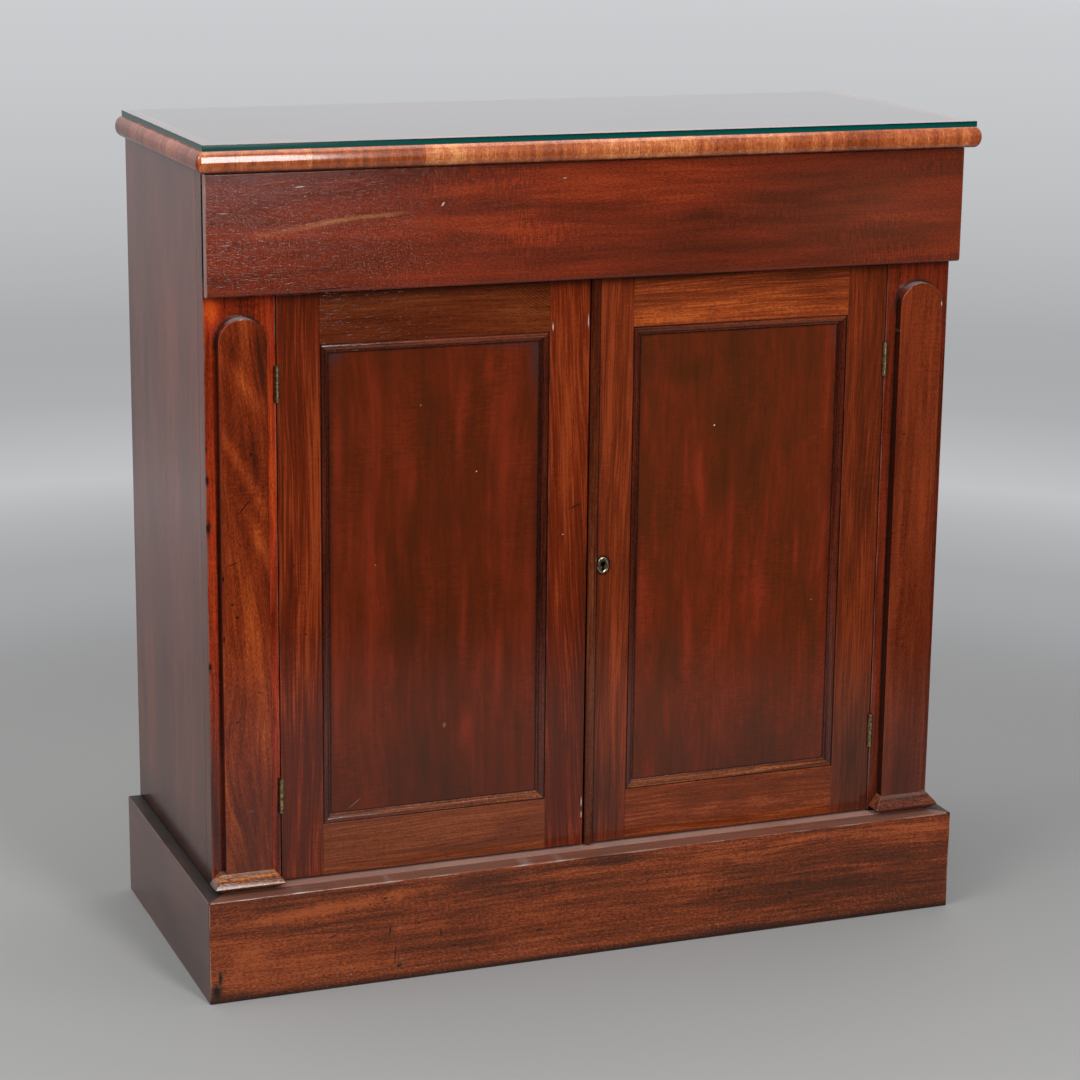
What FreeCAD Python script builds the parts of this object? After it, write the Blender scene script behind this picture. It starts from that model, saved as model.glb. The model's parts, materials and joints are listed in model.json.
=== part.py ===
import FreeCAD, Part
import os
from math import pi

# Mahogany chiffonier: a shallow cupboard on a plinth, with a full-width drawer and two panelled doors.
# Millimetres. +Z is up, the front faces -Y, the origin is on the floor at the centre of the footprint.

# ---- driving dimensions -------------------------------------------------------------------------
DEPTH = 365.0             # back of the plinth to the foremost line of the top
BACK = DEPTH / 2
PLINTH_WIDTH = 873.0
PLINTH_DEPTH = 362.0
PLINTH_HEIGHT = 113.5
PLINTH_BOARD = 22.0       # thickness of the plinth boards
PLINTH_ARRIS = 1.5
CARCASS_WIDTH = 845.0
CARCASS_DEPTH = 326.0
CARCASS_TOP = 873.2
SIDE_THICK = 20.0
BACK_THICK = 10.0

TOP_WIDTH = 873.0
TOP_THICK = 22.4
TOP_BACK_SHORT = 14.0     # the top has shrunk across its grain and stops short of the back
EDGING_WIDTH = 20.0
EDGING_BULGE = 9.0
GLASS_WIDTH = 859.0
GLASS_THICK = 6.4
GLASS_FRONT_INSET = 3.0
GLASS_BACK_INSET = 2.0
GLASS_ARRIS = 0.7

STILE_WIDTH = 75.5        # pilaster stile
STILE_THICK = 22.0
STRIP_WIDTH = 51.0        # arched pilaster strip
STRIP_THICK = 12.0
STRIP_TOP = 724.0
STRIP_ARRIS = 1.8
FOOT_INNER = 348.5        # ends of the foot block, from the middle of the cabinet
FOOT_OUTER = 425.5
FOOT_PROJECTION = 23.0
FOOT_HEIGHT = 20.5
FOOT_BULGE = 8.0
FOOT_NOSE_RISE = 7.5      # foremost line of the nose above the plinth

DOOR_THICK = 21.0
DOOR_BOTTOM_GAP = 2.2
DOOR_TOP = 744.4
DOOR_SIDE_GAP = 1.0
DOOR_ARRIS = 0.8
MEETING_LEFT = -3.2       # right edge of the left door
MEETING_RIGHT = -1.0      # left edge of the right door
PANEL_LEFT_INNER = -48.2  # sight lines of the two panels
PANEL_RIGHT_INNER = 47.2
PANEL_OUTER = 300.5
PANEL_LOW = 173.0
PANEL_HIGH = 691.0
PANEL_THICK = 7.0
PANEL_RECESS = 5.0        # panel face behind the frame face
PANEL_GROOVE = 6.0
TENON_LENGTH = 30.0
TENON_THICK = 7.0
TENON_SHOULDER = 8.0      # wood left above and below a tenon
MOULDING_WIDTH = 9.4
QUIRK_WIDTH = 1.5         # groove between the frame and the ovolo
QUIRK_DEPTH = 2.0
OVOLO_SHOULDER = 0.57     # depth at which the ovolo leaves the groove
OVOLO_MIDDLE = (4.6, 0.72)
OVOLO_END = (7.7, 3.86)
FILLET_DEPTH = 4.3
BEAD_WIDTH = 10.0
BEAD_HEIGHT = 3.5

HINGE_LENGTH = 38.0
HINGE_CENTRES_LEFT = (653.0, 211.0)
HINGE_CENTRES_RIGHT = (640.0, 211.0)
HINGE_PROUD = 1.2         # pin axis in front of the door face
KNUCKLE_RADIUS = 3.0
KNUCKLE_GAP = 0.3
KNUCKLES = 5
PIN_RADIUS = 1.25
PIN_CLEARANCE = 0.05
LEAF_THICK = 1.5
LEAF_WIDTH = 18.0
LEAF_SETBACK = 3.6        # plate edge behind the pin axis
KNUCKLE_RELIEF = 3.4
RELIEF_END = 0.5          # relief past each end of the knuckle

DRAWER_PROJECTION = 21.0  # drawer front face in front of the carcass front
OVERLAY_THICK = 17.5
OVERLAY_WIDTH = 847.0
OVERLAY_BOTTOM = 747.4
OVERLAY_TOP_GAP = 1.5
OVERLAY_LOW_ROUND = 5.0
OVERLAY_TOP_ROUND = 1.5
INNER_FRONT_BACK = 17.0   # back of the drawer front behind the carcass front
DRAWER_SIDE_GAP = 1.5
DRAWER_SIDE_THICK = 12.0
DRAWER_LOW = 764.2
DRAWER_HIGH = 850.5
DRAWER_STOP_GAP = 1.0     # the sides stop against the back boards
DRAWER_BOTTOM_THICK = 7.0
DRAWER_BOTTOM_RAISE = 7.3
DRAWER_GROOVE = 6.0
DRAWER_BACK_DROP = 4.0    # the back stands lower than the sides
LAP_DEPTH = 14.0          # length of the lapped dovetails at the front
TAIL_ROOT = 0.27          # half widths of a tail, as shares of the pitch
TAIL_TIP = 0.37
FRONT_TAILS = 4
REAR_TAILS = 3

RAIL_LOW = 745.9          # divider rail between the doors and the drawer
RAIL_HIGH = 763.9
RAIL_DEPTH = 56.0
TOP_RAIL_LOW = 852.0
BACK_RAIL_DEPTH = 40.0
RUNNER_WIDTH = 69.5
GUIDE_TOP = 800.0
GUIDE_GAP = 1.0
KICKER_WIDTH = 40.0
DUSTBOARD_THICK = 6.0
DUSTBOARD_GROOVE = 8.0
BOARD_THICK = 18.0        # bottom board and ledge rail
LEDGE_RAIL_DEPTH = 72.0
BLOCK_SIZE = 40.0
BLOCK_LIFT = 6.0
SHELF_TOP = 440.0
SHELF_THICK = 16.0
SHELF_FRONT = -92.0
SHELF_END_GAP = 0.5
BEARER_WIDTH = 18.0
BEARER_HEIGHT = 22.0
BACK_BOARD_GAP = 0.6

KEY_X = 16.0              # keyhole centre
KEY_Z = 433.6
KEY_RADIUS = 3.1
KEY_SLOT_WIDTH = 3.0
KEY_SLOT_DROP = 8.0
PLATE_RADIUS_X = 6.9      # escutcheon
PLATE_RADIUS_Z = 8.8
PLATE_DROP = 1.4          # escutcheon centre below the keyhole centre
PLATE_THICK = 1.6
PLATE_RIM = 1.8
PLATE_ARRIS = 0.7
PLATE_DISH = 0.8
LOCK_WIDTH = 38.0
LOCK_HEIGHT = 50.0
LOCK_THICK = 10.0         # let flush into the back of the stile
LOCK_WALL = 1.3
LOCK_POCKET_RADIUS = 9.0
LOCK_BOLT_HEIGHT = 10.0
LOCK_BOLT_THICK = 5.0
LOCK_BOLT_LENGTH = 30.0
LOCK_BOLT_RISE = 14.5     # bolt centre above the keyhole centre
LOCK_CLEARANCE = 0.2
LOCK_TRAVEL = 8.0
LOCK_MORTISE_CLEARANCE = 0.8
LOCK_MORTISE_SPARE = 2.0  # mortise deeper than the bolt's travel

SLIP_PLATE_LENGTH = 90.0
SLIP_PLATE_WIDTH = 10.0
SLIP_PLATE_THICK = 2.0
SLIP_ROD_RADIUS = 3.0
SLIP_ROD_DEPTH = 5.5      # rod axis behind the door edge
SLIP_ROD_LENGTH = 90.0
SLIP_HOLE_LENGTH = 108.0
SLIP_END_GAP = 0.5
SLIP_TRAVEL = 12.0
SLIP_STUD_RADIUS = 1.8
SLIP_STUD_FROM_END = 54.0
SLIP_CLEARANCE = 0.05
SLIP_SLOT_CLEARANCE = 0.25
STRIKE_RADIUS = 3.5
STRIKE_DEPTH = 14.5

# ---- derived planes -----------------------------------------------------------------------------
FRONT = BACK - CARCASS_DEPTH
STILE_BACK = FRONT + STILE_THICK
DOOR_BACK = FRONT + DOOR_THICK
BOARD_FRONT = STILE_BACK
PLINTH_FRONT = BACK - PLINTH_DEPTH
HALF_PLINTH = PLINTH_WIDTH / 2
HALF_CARCASS = CARCASS_WIDTH / 2
INNER_SIDE = HALF_CARCASS - SIDE_THICK
PLINTH_INNER = HALF_PLINTH - PLINTH_BOARD
STILE_INNER = HALF_CARCASS - STILE_WIDTH
BACK_INNER = BACK - BACK_THICK
BACK_BOARDS_HALF = INNER_SIDE + SIDE_THICK / 2
STRIP_CENTRE = STILE_INNER + STILE_WIDTH / 2
DOOR_LOW = PLINTH_HEIGHT + DOOR_BOTTOM_GAP
DOOR_OUTER = STILE_INNER - DOOR_SIDE_GAP / 2
STILE_EDGE = STILE_INNER + DOOR_SIDE_GAP / 2
PIN_Y = FRONT - HINGE_PROUD
DRAWER_FACE = FRONT - DRAWER_PROJECTION
OVERLAY_BACK = DRAWER_FACE + OVERLAY_THICK
DRAWER_INNER_BACK = FRONT + INNER_FRONT_BACK
DRAWER_REAR = BACK - BACK_THICK - DRAWER_STOP_GAP
DRAWER_HALF = STILE_INNER - DRAWER_SIDE_GAP
DRAWER_INSIDE = DRAWER_HALF - DRAWER_SIDE_THICK
RAIL_BACK = FRONT + RAIL_DEPTH
LOCK_FRONT = DOOR_BACK - LOCK_THICK
ROD_Y = FRONT + DOOR_THICK / 2
ROD_X = MEETING_LEFT - SLIP_ROD_DEPTH
TOP_TOP = CARCASS_TOP + TOP_THICK

V = FreeCAD.Vector
PAST = 1.0                # how far a cutter runs past the face that it opens


# ---- helpers ------------------------------------------------------------------------------------
def box(x, y, z):
    """A block between the low and high value on each axis."""
    size = (x[1] - x[0], y[1] - y[0], z[1] - z[0])
    return Part.makeBox(size[0], size[1], size[2], V(x[0], y[0], z[0]))


def across(side, inner, outer):
    """The x range between two distances from the centre, on the side -1 or +1."""
    return tuple(sorted((side * inner, side * outer)))


def prism(points, along):
    """A straight solid with the given corner points, pushed along a vector."""
    return Part.Face(Part.makePolygon(points + [points[0]])).extrude(along)


def rod(radius, start, end):
    """A cylinder from one point to another."""
    return Part.makeCylinder(radius, (end - start).Length, start, end - start)


def straight(a, b):
    return Part.LineSegment(a, b).toShape()


def arc(a, middle, b):
    return Part.Arc(a, middle, b).toShape()


def quarter(centre, first, second):
    """A quarter of an ellipse between centre + first and centre + second."""
    longer, shorter = sorted((first, second), key=lambda v: v.Length, reverse=True)
    return Part.Ellipse(centre + longer, centre + shorter, centre).toShape(0, pi / 2)


def nose(centre, below, above, out):
    """Two quarters that bulge outwards: the lower one, then the upper one."""
    return [quarter(centre, V(0, 0, -below), out), quarter(centre, V(0, 0, above), out)]


def on_plane(edge, axis, value):
    """True if the whole edge lies where the coordinate (0 for x, 1 for y, 2 for z) has the value."""
    span = edge.BoundBox
    low = (span.XMin, span.YMin, span.ZMin)[axis]
    high = (span.XMax, span.YMax, span.ZMax)[axis]
    return abs(low - value) < 1e-3 and abs(high - value) < 1e-3


def softened(shape, radius, *planes):
    """Rounds the edges that lie in every one of the planes, each given as (axis, value)."""
    edges = [e for e in shape.Edges if all(on_plane(e, axis, value) for axis, value in planes)]
    return shape.makeFillet(radius, edges)


def write(node, shape):
    """Stores one sub-part and prints its size."""
    shape.exportStep(f"parts/{node}.step")
    b = shape.BoundBox
    print(f"{node:28s} solids {len(shape.Solids):2d}  {b.XLength:7.1f} x {b.YLength:6.1f} x {b.ZLength:6.1f}")


def both_sides(name, make):
    """Writes the left and the right twin of a sub-part."""
    write(name + "_left", make(-1))
    write(name + "_right", make(1))


# ---- plinth -------------------------------------------------------------------------------------
def plinth_front():
    """Front board, mitred at both ends, with a worn top arris."""
    corners = [
        V(-HALF_PLINTH, PLINTH_FRONT, 0),
        V(HALF_PLINTH, PLINTH_FRONT, 0),
        V(PLINTH_INNER, PLINTH_FRONT + PLINTH_BOARD, 0),
        V(-PLINTH_INNER, PLINTH_FRONT + PLINTH_BOARD, 0),
    ]
    board = prism(corners, V(0, 0, PLINTH_HEIGHT))
    return softened(board, PLINTH_ARRIS, (2, PLINTH_HEIGHT), (1, PLINTH_FRONT))


def plinth_side(side):
    """Side board, mitred to the front board."""
    corners = [
        V(side * HALF_PLINTH, PLINTH_FRONT, 0),
        V(side * HALF_PLINTH, BACK, 0),
        V(side * PLINTH_INNER, BACK, 0),
        V(side * PLINTH_INNER, PLINTH_FRONT + PLINTH_BOARD, 0),
    ]
    board = prism(corners, V(0, 0, PLINTH_HEIGHT))
    return softened(board, PLINTH_ARRIS, (2, PLINTH_HEIGHT), (0, side * HALF_PLINTH))


def plinth_back():
    return box((-PLINTH_INNER, PLINTH_INNER), (BACK - PLINTH_BOARD, BACK), (0, PLINTH_HEIGHT))


def plinth_ledge_rail():
    """Flat rail behind the plinth front; the doors close over it and the lower slip bolt drops in."""
    start = PLINTH_FRONT + PLINTH_BOARD
    low = PLINTH_HEIGHT - BOARD_THICK
    rail = box((-PLINTH_INNER, PLINTH_INNER), (start, start + LEDGE_RAIL_DEPTH), (low, PLINTH_HEIGHT))
    top = V(ROD_X, ROD_Y, PLINTH_HEIGHT)
    return rail.cut(rod(STRIKE_RADIUS, top - V(0, 0, STRIKE_DEPTH), top))


def plinth_corner_blocks():
    """Four glue blocks in the corners of the plinth."""
    front = (PLINTH_FRONT + PLINTH_BOARD, PLINTH_FRONT + PLINTH_BOARD + BLOCK_SIZE)
    rear = (BACK - PLINTH_BOARD - BLOCK_SIZE, BACK - PLINTH_BOARD)
    blocks = []
    for side in (-1, 1):
        x = across(side, PLINTH_INNER - BLOCK_SIZE, PLINTH_INNER)
        blocks.append(box(x, front, (BLOCK_LIFT, PLINTH_HEIGHT - BOARD_THICK)))
        blocks.append(box(x, rear, (BLOCK_LIFT, PLINTH_HEIGHT)))
    return Part.makeCompound(blocks)


# ---- carcass ------------------------------------------------------------------------------------
def side_panel(side):
    """Side of the carcass, rebated at the back for the back boards."""
    panel = box(across(side, INNER_SIDE, HALF_CARCASS), (BOARD_FRONT, BACK), (PLINTH_HEIGHT, CARCASS_TOP))
    rebate = box(across(side, INNER_SIDE, BACK_BOARDS_HALF), (BACK_INNER, BACK), (PLINTH_HEIGHT, CARCASS_TOP))
    return panel.cut(rebate)


def bottom_board():
    z = (PLINTH_HEIGHT, PLINTH_HEIGHT + BOARD_THICK)
    return box((-INNER_SIDE, INNER_SIDE), (BOARD_FRONT, BACK_INNER), z)


def front_rail(low, high):
    """A rail between the pilaster stiles that widens behind them to reach the sides."""
    front = box((-STILE_INNER, STILE_INNER), (FRONT, STILE_BACK), (low, high))
    rear = box((-INNER_SIDE, INNER_SIDE), (STILE_BACK, RAIL_BACK), (low, high))
    return front.fuse(rear).removeSplitter()


def dustboard_slab():
    """Thin board that closes the space under the drawer."""
    x = INNER_SIDE - RUNNER_WIDTH + DUSTBOARD_GROOVE
    middle = (RAIL_LOW + RAIL_HIGH) / 2
    z = (middle - DUSTBOARD_THICK / 2, middle + DUSTBOARD_THICK / 2)
    return box((-x, x), (RAIL_BACK - DUSTBOARD_GROOVE, BACK_INNER), z)


def drawer_divider_rail():
    """Rail between doors and drawer, grooved for the dustboard, bored for the upper slip bolt."""
    low = V(ROD_X, ROD_Y, RAIL_LOW)
    strike = rod(STRIKE_RADIUS, low, low + V(0, 0, STRIKE_DEPTH))
    return front_rail(RAIL_LOW, RAIL_HIGH).cut(strike).cut(dustboard_slab())


def top_rail_back():
    z = (TOP_RAIL_LOW, CARCASS_TOP)
    return box((-INNER_SIDE, INNER_SIDE), (BACK_INNER - BACK_RAIL_DEPTH, BACK_INNER), z)


def drawer_runner(side):
    """L-shaped runner: the flat part carries the drawer side, the upright part guides it."""
    y = (RAIL_BACK, BACK_INNER)
    flat = box(across(side, INNER_SIDE - RUNNER_WIDTH, INNER_SIDE), y, (RAIL_LOW, RAIL_HIGH))
    guide = box(across(side, DRAWER_HALF + GUIDE_GAP, INNER_SIDE), y, (RAIL_HIGH, GUIDE_TOP))
    return flat.fuse(guide).removeSplitter().cut(dustboard_slab())


def drawer_kickers():
    """Two bars over the drawer sides that stop the drawer from tipping when it is pulled out."""
    y = (RAIL_BACK, BACK_INNER - BACK_RAIL_DEPTH)
    z = (TOP_RAIL_LOW, CARCASS_TOP)
    inner = DRAWER_HALF - KICKER_WIDTH
    return Part.makeCompound([box(across(side, inner, DRAWER_HALF), y, z) for side in (-1, 1)])


def shelf():
    z = (SHELF_TOP - SHELF_THICK, SHELF_TOP)
    half = INNER_SIDE - SHELF_END_GAP
    return box((-half, half), (SHELF_FRONT, BACK_INNER), z)


def shelf_bearers():
    z = (SHELF_TOP - SHELF_THICK - BEARER_HEIGHT, SHELF_TOP - SHELF_THICK)
    y = (SHELF_FRONT, BACK_INNER)
    inner = INNER_SIDE - BEARER_WIDTH
    return Part.makeCompound([box(across(side, inner, INNER_SIDE), y, z) for side in (-1, 1)])


def back_board(index):
    """One of three upright boards nailed into the rebates of the sides."""
    width = 2 * BACK_BOARDS_HALF / 3
    start = -BACK_BOARDS_HALF + index * width
    x = (start + BACK_BOARD_GAP / 2, start + width - BACK_BOARD_GAP / 2)
    return box(x, (BACK_INNER, BACK), (PLINTH_HEIGHT, CARCASS_TOP))


# ---- top ----------------------------------------------------------------------------------------
def top_board():
    half = TOP_WIDTH / 2 - EDGING_WIDTH
    return box((-half, half), (-BACK + EDGING_WIDTH, BACK - TOP_BACK_SHORT), (CARCASS_TOP, TOP_TOP))


def edging_face(origin, outward):
    """Cross-section of the edging: flat inside, bulging outwards over the height of the top."""
    half = TOP_THICK / 2

    def at(distance, z):
        return origin + outward * distance + V(0, 0, z)

    chord = EDGING_WIDTH - EDGING_BULGE
    edges = [
        straight(at(0, CARCASS_TOP), at(chord, CARCASS_TOP)),
        *nose(at(chord, CARCASS_TOP + half), half, half, outward * EDGING_BULGE),
        straight(at(chord, TOP_TOP), at(0, TOP_TOP)),
        straight(at(0, TOP_TOP), at(0, CARCASS_TOP)),
    ]
    return Part.Face(Part.Wire(edges))


def mitre_plan(side):
    """Area of the top, seen from above, that belongs to the front edging at one corner and beyond."""
    reach = EDGING_WIDTH + PAST
    corner = V(side * (TOP_WIDTH / 2 - EDGING_WIDTH), -BACK + EDGING_WIDTH, CARCASS_TOP - PAST)
    tip = corner + V(side * reach, -reach, 0)
    inner = V(0, corner.y, corner.z)
    return [corner, tip, V(0, tip.y, tip.z), inner]


def top_edge_front():
    """Front edging, mitred at both corners."""
    half = TOP_WIDTH / 2
    bar = edging_face(V(-half, -BACK + EDGING_WIDTH, 0), V(0, -1, 0)).extrude(V(TOP_WIDTH, 0, 0))
    height = V(0, 0, TOP_THICK + 2 * PAST)
    plan = prism(mitre_plan(-1), height).fuse(prism(mitre_plan(1), height))
    return bar.common(plan).removeSplitter()


def top_edge_side(side):
    """Side edging, mitred to the front edging."""
    inner = side * (TOP_WIDTH / 2 - EDGING_WIDTH)
    length = DEPTH - TOP_BACK_SHORT
    bar = edging_face(V(inner, -BACK, 0), V(side, 0, 0)).extrude(V(0, length, 0))
    return bar.cut(prism(mitre_plan(side), V(0, 0, TOP_THICK + 2 * PAST)))


def glass_top():
    """Loose sheet of glass with ground arrises."""
    half = GLASS_WIDTH / 2
    y = (-BACK + GLASS_FRONT_INSET, BACK - TOP_BACK_SHORT - GLASS_BACK_INSET)
    sheet = box((-half, half), y, (TOP_TOP, TOP_TOP + GLASS_THICK))
    return sheet.makeChamfer(GLASS_ARRIS, sheet.Edges)


# ---- pilasters ----------------------------------------------------------------------------------
def hinge_centres(side):
    return HINGE_CENTRES_LEFT if side < 0 else HINGE_CENTRES_RIGHT


def hinge_pockets(side, inner, outer):
    """Leaf recesses and knuckle reliefs that are cut from the wood beside the hinges."""
    cuts = []
    for centre in hinge_centres(side):
        z = (centre - HINGE_LENGTH / 2, centre + HINGE_LENGTH / 2)
        plate_end = PIN_Y + LEAF_SETBACK + LEAF_WIDTH
        cuts.append(box(across(side, inner, outer), (FRONT - PAST, plate_end), z))
        axis = V(side * STILE_INNER, PIN_Y, 0)
        cuts.append(rod(KNUCKLE_RELIEF, axis + V(0, 0, z[0] - RELIEF_END), axis + V(0, 0, z[1] + RELIEF_END)))
    return cuts


def pilaster_stile(side):
    """Upright beside the door; the drawer front laps over its upper end."""
    stile = box(across(side, STILE_EDGE, HALF_CARCASS), (FRONT, STILE_BACK), (PLINTH_HEIGHT, CARCASS_TOP))
    stile = softened(stile, DOOR_ARRIS, (1, FRONT), (0, side * HALF_CARCASS))
    return stile.cut(hinge_pockets(side, STILE_EDGE, STILE_EDGE + LEAF_THICK))


def pilaster_strip(side):
    """Flat strip with a round-arched head, planted on the stile above its foot."""
    centre = side * STRIP_CENTRE
    radius = STRIP_WIDTH / 2
    low = PLINTH_HEIGHT + FOOT_HEIGHT
    spring = STRIP_TOP - radius
    left = centre - radius
    right = centre + radius
    outline = Part.Wire([
        straight(V(left, FRONT, low), V(right, FRONT, low)),
        straight(V(right, FRONT, low), V(right, FRONT, spring)),
        arc(V(right, FRONT, spring), V(centre, FRONT, STRIP_TOP), V(left, FRONT, spring)),
        straight(V(left, FRONT, spring), V(left, FRONT, low)),
    ])
    strip = Part.Face(outline).extrude(V(0, -STRIP_THICK, 0))
    face = FRONT - STRIP_THICK
    rounded = [e for e in strip.Edges if on_plane(e, 1, face) and not on_plane(e, 2, low)]
    return strip.makeFillet(STRIP_ARRIS, rounded)


def pilaster_foot(side):
    """Foot block whose nose returns round both ends: a deep quarter above, a shallow one below."""
    low = PLINTH_HEIGHT
    high = PLINTH_HEIGHT + FOOT_HEIGHT
    crest = PLINTH_HEIGHT + FOOT_NOSE_RISE
    back = FRONT
    front = FRONT - FOOT_PROJECTION
    left, right = across(side, FOOT_INNER, FOOT_OUTER)
    chord = front + FOOT_BULGE
    along_x = Part.Face(Part.Wire([
        straight(V(left, back, low), V(left, chord, low)),
        *nose(V(left, chord, crest), crest - low, high - crest, V(0, -FOOT_BULGE, 0)),
        straight(V(left, chord, high), V(left, back, high)),
        straight(V(left, back, high), V(left, back, low)),
    ])).extrude(V(right - left, 0, 0))
    inner_left = left + FOOT_BULGE
    inner_right = right - FOOT_BULGE
    left_nose = nose(V(inner_left, front, crest), crest - low, high - crest, V(-FOOT_BULGE, 0, 0))
    along_y = Part.Face(Part.Wire([
        straight(V(inner_left, front, low), V(inner_right, front, low)),
        *nose(V(inner_right, front, crest), crest - low, high - crest, V(FOOT_BULGE, 0, 0)),
        straight(V(inner_right, front, high), V(inner_left, front, high)),
        *reversed(left_nose),
    ])).extrude(V(0, FOOT_PROJECTION, 0))
    return along_x.common(along_y)


# ---- doors --------------------------------------------------------------------------------------
def door_limits(side):
    """Outer edge, outer sight line, inner sight line and meeting edge of a door, as x values."""
    if side < 0:
        return -DOOR_OUTER, -PANEL_OUTER, PANEL_LEFT_INNER, MEETING_LEFT
    return DOOR_OUTER, PANEL_OUTER, PANEL_RIGHT_INNER, MEETING_RIGHT


def door_panel(side):
    """Flat panel that stands in the grooves of the frame."""
    _, outer, inner, _ = door_limits(side)
    x = tuple(sorted((outer, inner)))
    y = (FRONT + PANEL_RECESS, FRONT + PANEL_RECESS + PANEL_THICK)
    z = (PANEL_LOW - PANEL_GROOVE, PANEL_HIGH + PANEL_GROOVE)
    return box((x[0] - PANEL_GROOVE, x[1] + PANEL_GROOVE), y, z)


def door_rail(side, low, high):
    """Cross rail with a tenon at each end, grooved for the panel."""
    _, outer, inner, _ = door_limits(side)
    x = tuple(sorted((outer, inner)))
    rail = box(x, (FRONT, DOOR_BACK), (low, high))
    tenon_y = (FRONT + (DOOR_THICK - TENON_THICK) / 2, FRONT + (DOOR_THICK + TENON_THICK) / 2)
    tenon_z = (low + TENON_SHOULDER, high - TENON_SHOULDER)
    tenon = box((x[0] - TENON_LENGTH, x[1] + TENON_LENGTH), tenon_y, tenon_z)
    return rail.fuse(tenon).removeSplitter().cut(door_panel(side))


def door_rails(side):
    """The bottom rail and the top rail of one door."""
    return door_rail(side, DOOR_LOW, PANEL_LOW), door_rail(side, PANEL_HIGH, DOOR_TOP)


def door_stile(side, sight, edge):
    """Upright of a door, mortised for the rails and grooved for the panel."""
    stile = box(tuple(sorted((sight, edge))), (FRONT, DOOR_BACK), (DOOR_LOW, DOOR_TOP))
    stile = softened(stile, DOOR_ARRIS, (1, FRONT), (0, edge))
    for rail in door_rails(side):
        stile = stile.cut(rail)
    return stile.cut(door_panel(side))


def door_hinge_stile(side):
    edge, sight, _, _ = door_limits(side)
    stile = door_stile(side, sight, edge)
    return stile.cut(hinge_pockets(side, DOOR_OUTER - LEAF_THICK, DOOR_OUTER))


def moulding_face(corner, inward):
    """Quirk, ovolo and fillet, drawn at one corner of the panel opening along its mitre."""

    def at(u, depth):
        return corner + inward * u + V(0, depth, 0)

    edges = [
        straight(at(0, PANEL_RECESS), at(0, QUIRK_DEPTH)),
        straight(at(0, QUIRK_DEPTH), at(QUIRK_WIDTH, QUIRK_DEPTH)),
        straight(at(QUIRK_WIDTH, QUIRK_DEPTH), at(QUIRK_WIDTH, OVOLO_SHOULDER)),
        arc(at(QUIRK_WIDTH, OVOLO_SHOULDER), at(*OVOLO_MIDDLE), at(*OVOLO_END)),
        straight(at(*OVOLO_END), at(OVOLO_END[0], FILLET_DEPTH)),
        straight(at(OVOLO_END[0], FILLET_DEPTH), at(MOULDING_WIDTH, FILLET_DEPTH)),
        straight(at(MOULDING_WIDTH, FILLET_DEPTH), at(MOULDING_WIDTH, PANEL_RECESS)),
        straight(at(MOULDING_WIDTH, PANEL_RECESS), at(0, PANEL_RECESS)),
    ]
    return Part.Face(Part.Wire(edges))


def door_moulding(side):
    """Four mitred lengths of moulding round the panel."""
    _, outer, inner, _ = door_limits(side)
    x0, x1 = sorted((outer, inner))
    corners = [
        (x0, PANEL_LOW, 1, 1),
        (x1, PANEL_LOW, -1, 1),
        (x1, PANEL_HIGH, -1, -1),
        (x0, PANEL_HIGH, 1, -1),
    ]
    faces = [moulding_face(V(x, FRONT, z), V(dx, 0, dz)) for x, z, dx, dz in corners]
    lengths = []
    for index in range(4):
        start = faces[index]
        end = faces[(index + 1) % 4]
        lengths.append(Part.makeLoft([start.OuterWire, end.OuterWire], True, True))
    return Part.makeCompound(lengths)


def right_door_bead():
    """Half-round bead planted on the meeting edge of the right door."""
    x0 = MEETING_RIGHT
    x1 = MEETING_RIGHT + BEAD_WIDTH
    crown = V((x0 + x1) / 2, FRONT - BEAD_HEIGHT, DOOR_LOW)
    section = Part.Wire([
        arc(V(x0, FRONT, DOOR_LOW), crown, V(x1, FRONT, DOOR_LOW)),
        straight(V(x1, FRONT, DOOR_LOW), V(x0, FRONT, DOOR_LOW)),
    ])
    return Part.Face(section).extrude(V(0, 0, DOOR_TOP - DOOR_LOW))


# ---- hinges -------------------------------------------------------------------------------------
def knuckle_spans(centre, first):
    """The z ranges of every second knuckle of a hinge, from the knuckle number first."""
    pitch = HINGE_LENGTH / KNUCKLES
    low = centre - HINGE_LENGTH / 2
    return [(low + i * pitch + KNUCKLE_GAP / 2, low + (i + 1) * pitch - KNUCKLE_GAP / 2)
            for i in range(first, KNUCKLES, 2)]


def hinge_leaf(side, centre, first, x_inner):
    """One leaf of a butt hinge: its plate, and knuckles rolled round the pin."""
    axis = V(side * STILE_INNER, PIN_Y, 0)
    x = across(side, x_inner, x_inner + LEAF_THICK)
    plate_y = (PIN_Y + LEAF_SETBACK, PIN_Y + LEAF_SETBACK + LEAF_WIDTH)
    leaf = box(x, plate_y, (centre - HINGE_LENGTH / 2, centre + HINGE_LENGTH / 2))
    for z in knuckle_spans(centre, first):
        leaf = leaf.fuse(rod(KNUCKLE_RADIUS, axis + V(0, 0, z[0]), axis + V(0, 0, z[1])))
        leaf = leaf.fuse(box(x, (PIN_Y, plate_y[0]), z))
    low = axis + V(0, 0, centre - HINGE_LENGTH)
    bore = rod(PIN_RADIUS + PIN_CLEARANCE, low, low + V(0, 0, 2 * HINGE_LENGTH))
    return leaf.removeSplitter().cut(bore)


def hinge_leaves(sides, first, x_inner):
    """Leaves of the same kind for the hinges of one or both sides."""
    return Part.makeCompound([hinge_leaf(side, centre, first, x_inner)
                              for side in sides for centre in hinge_centres(side)])


def hinge_pins():
    """The four hinge pins."""
    pins = []
    for side in (-1, 1):
        for centre in hinge_centres(side):
            foot = V(side * STILE_INNER, PIN_Y, centre - HINGE_LENGTH / 2)
            pins.append(rod(PIN_RADIUS, foot, foot + V(0, 0, HINGE_LENGTH)))
    return Part.makeCompound(pins)


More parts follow.
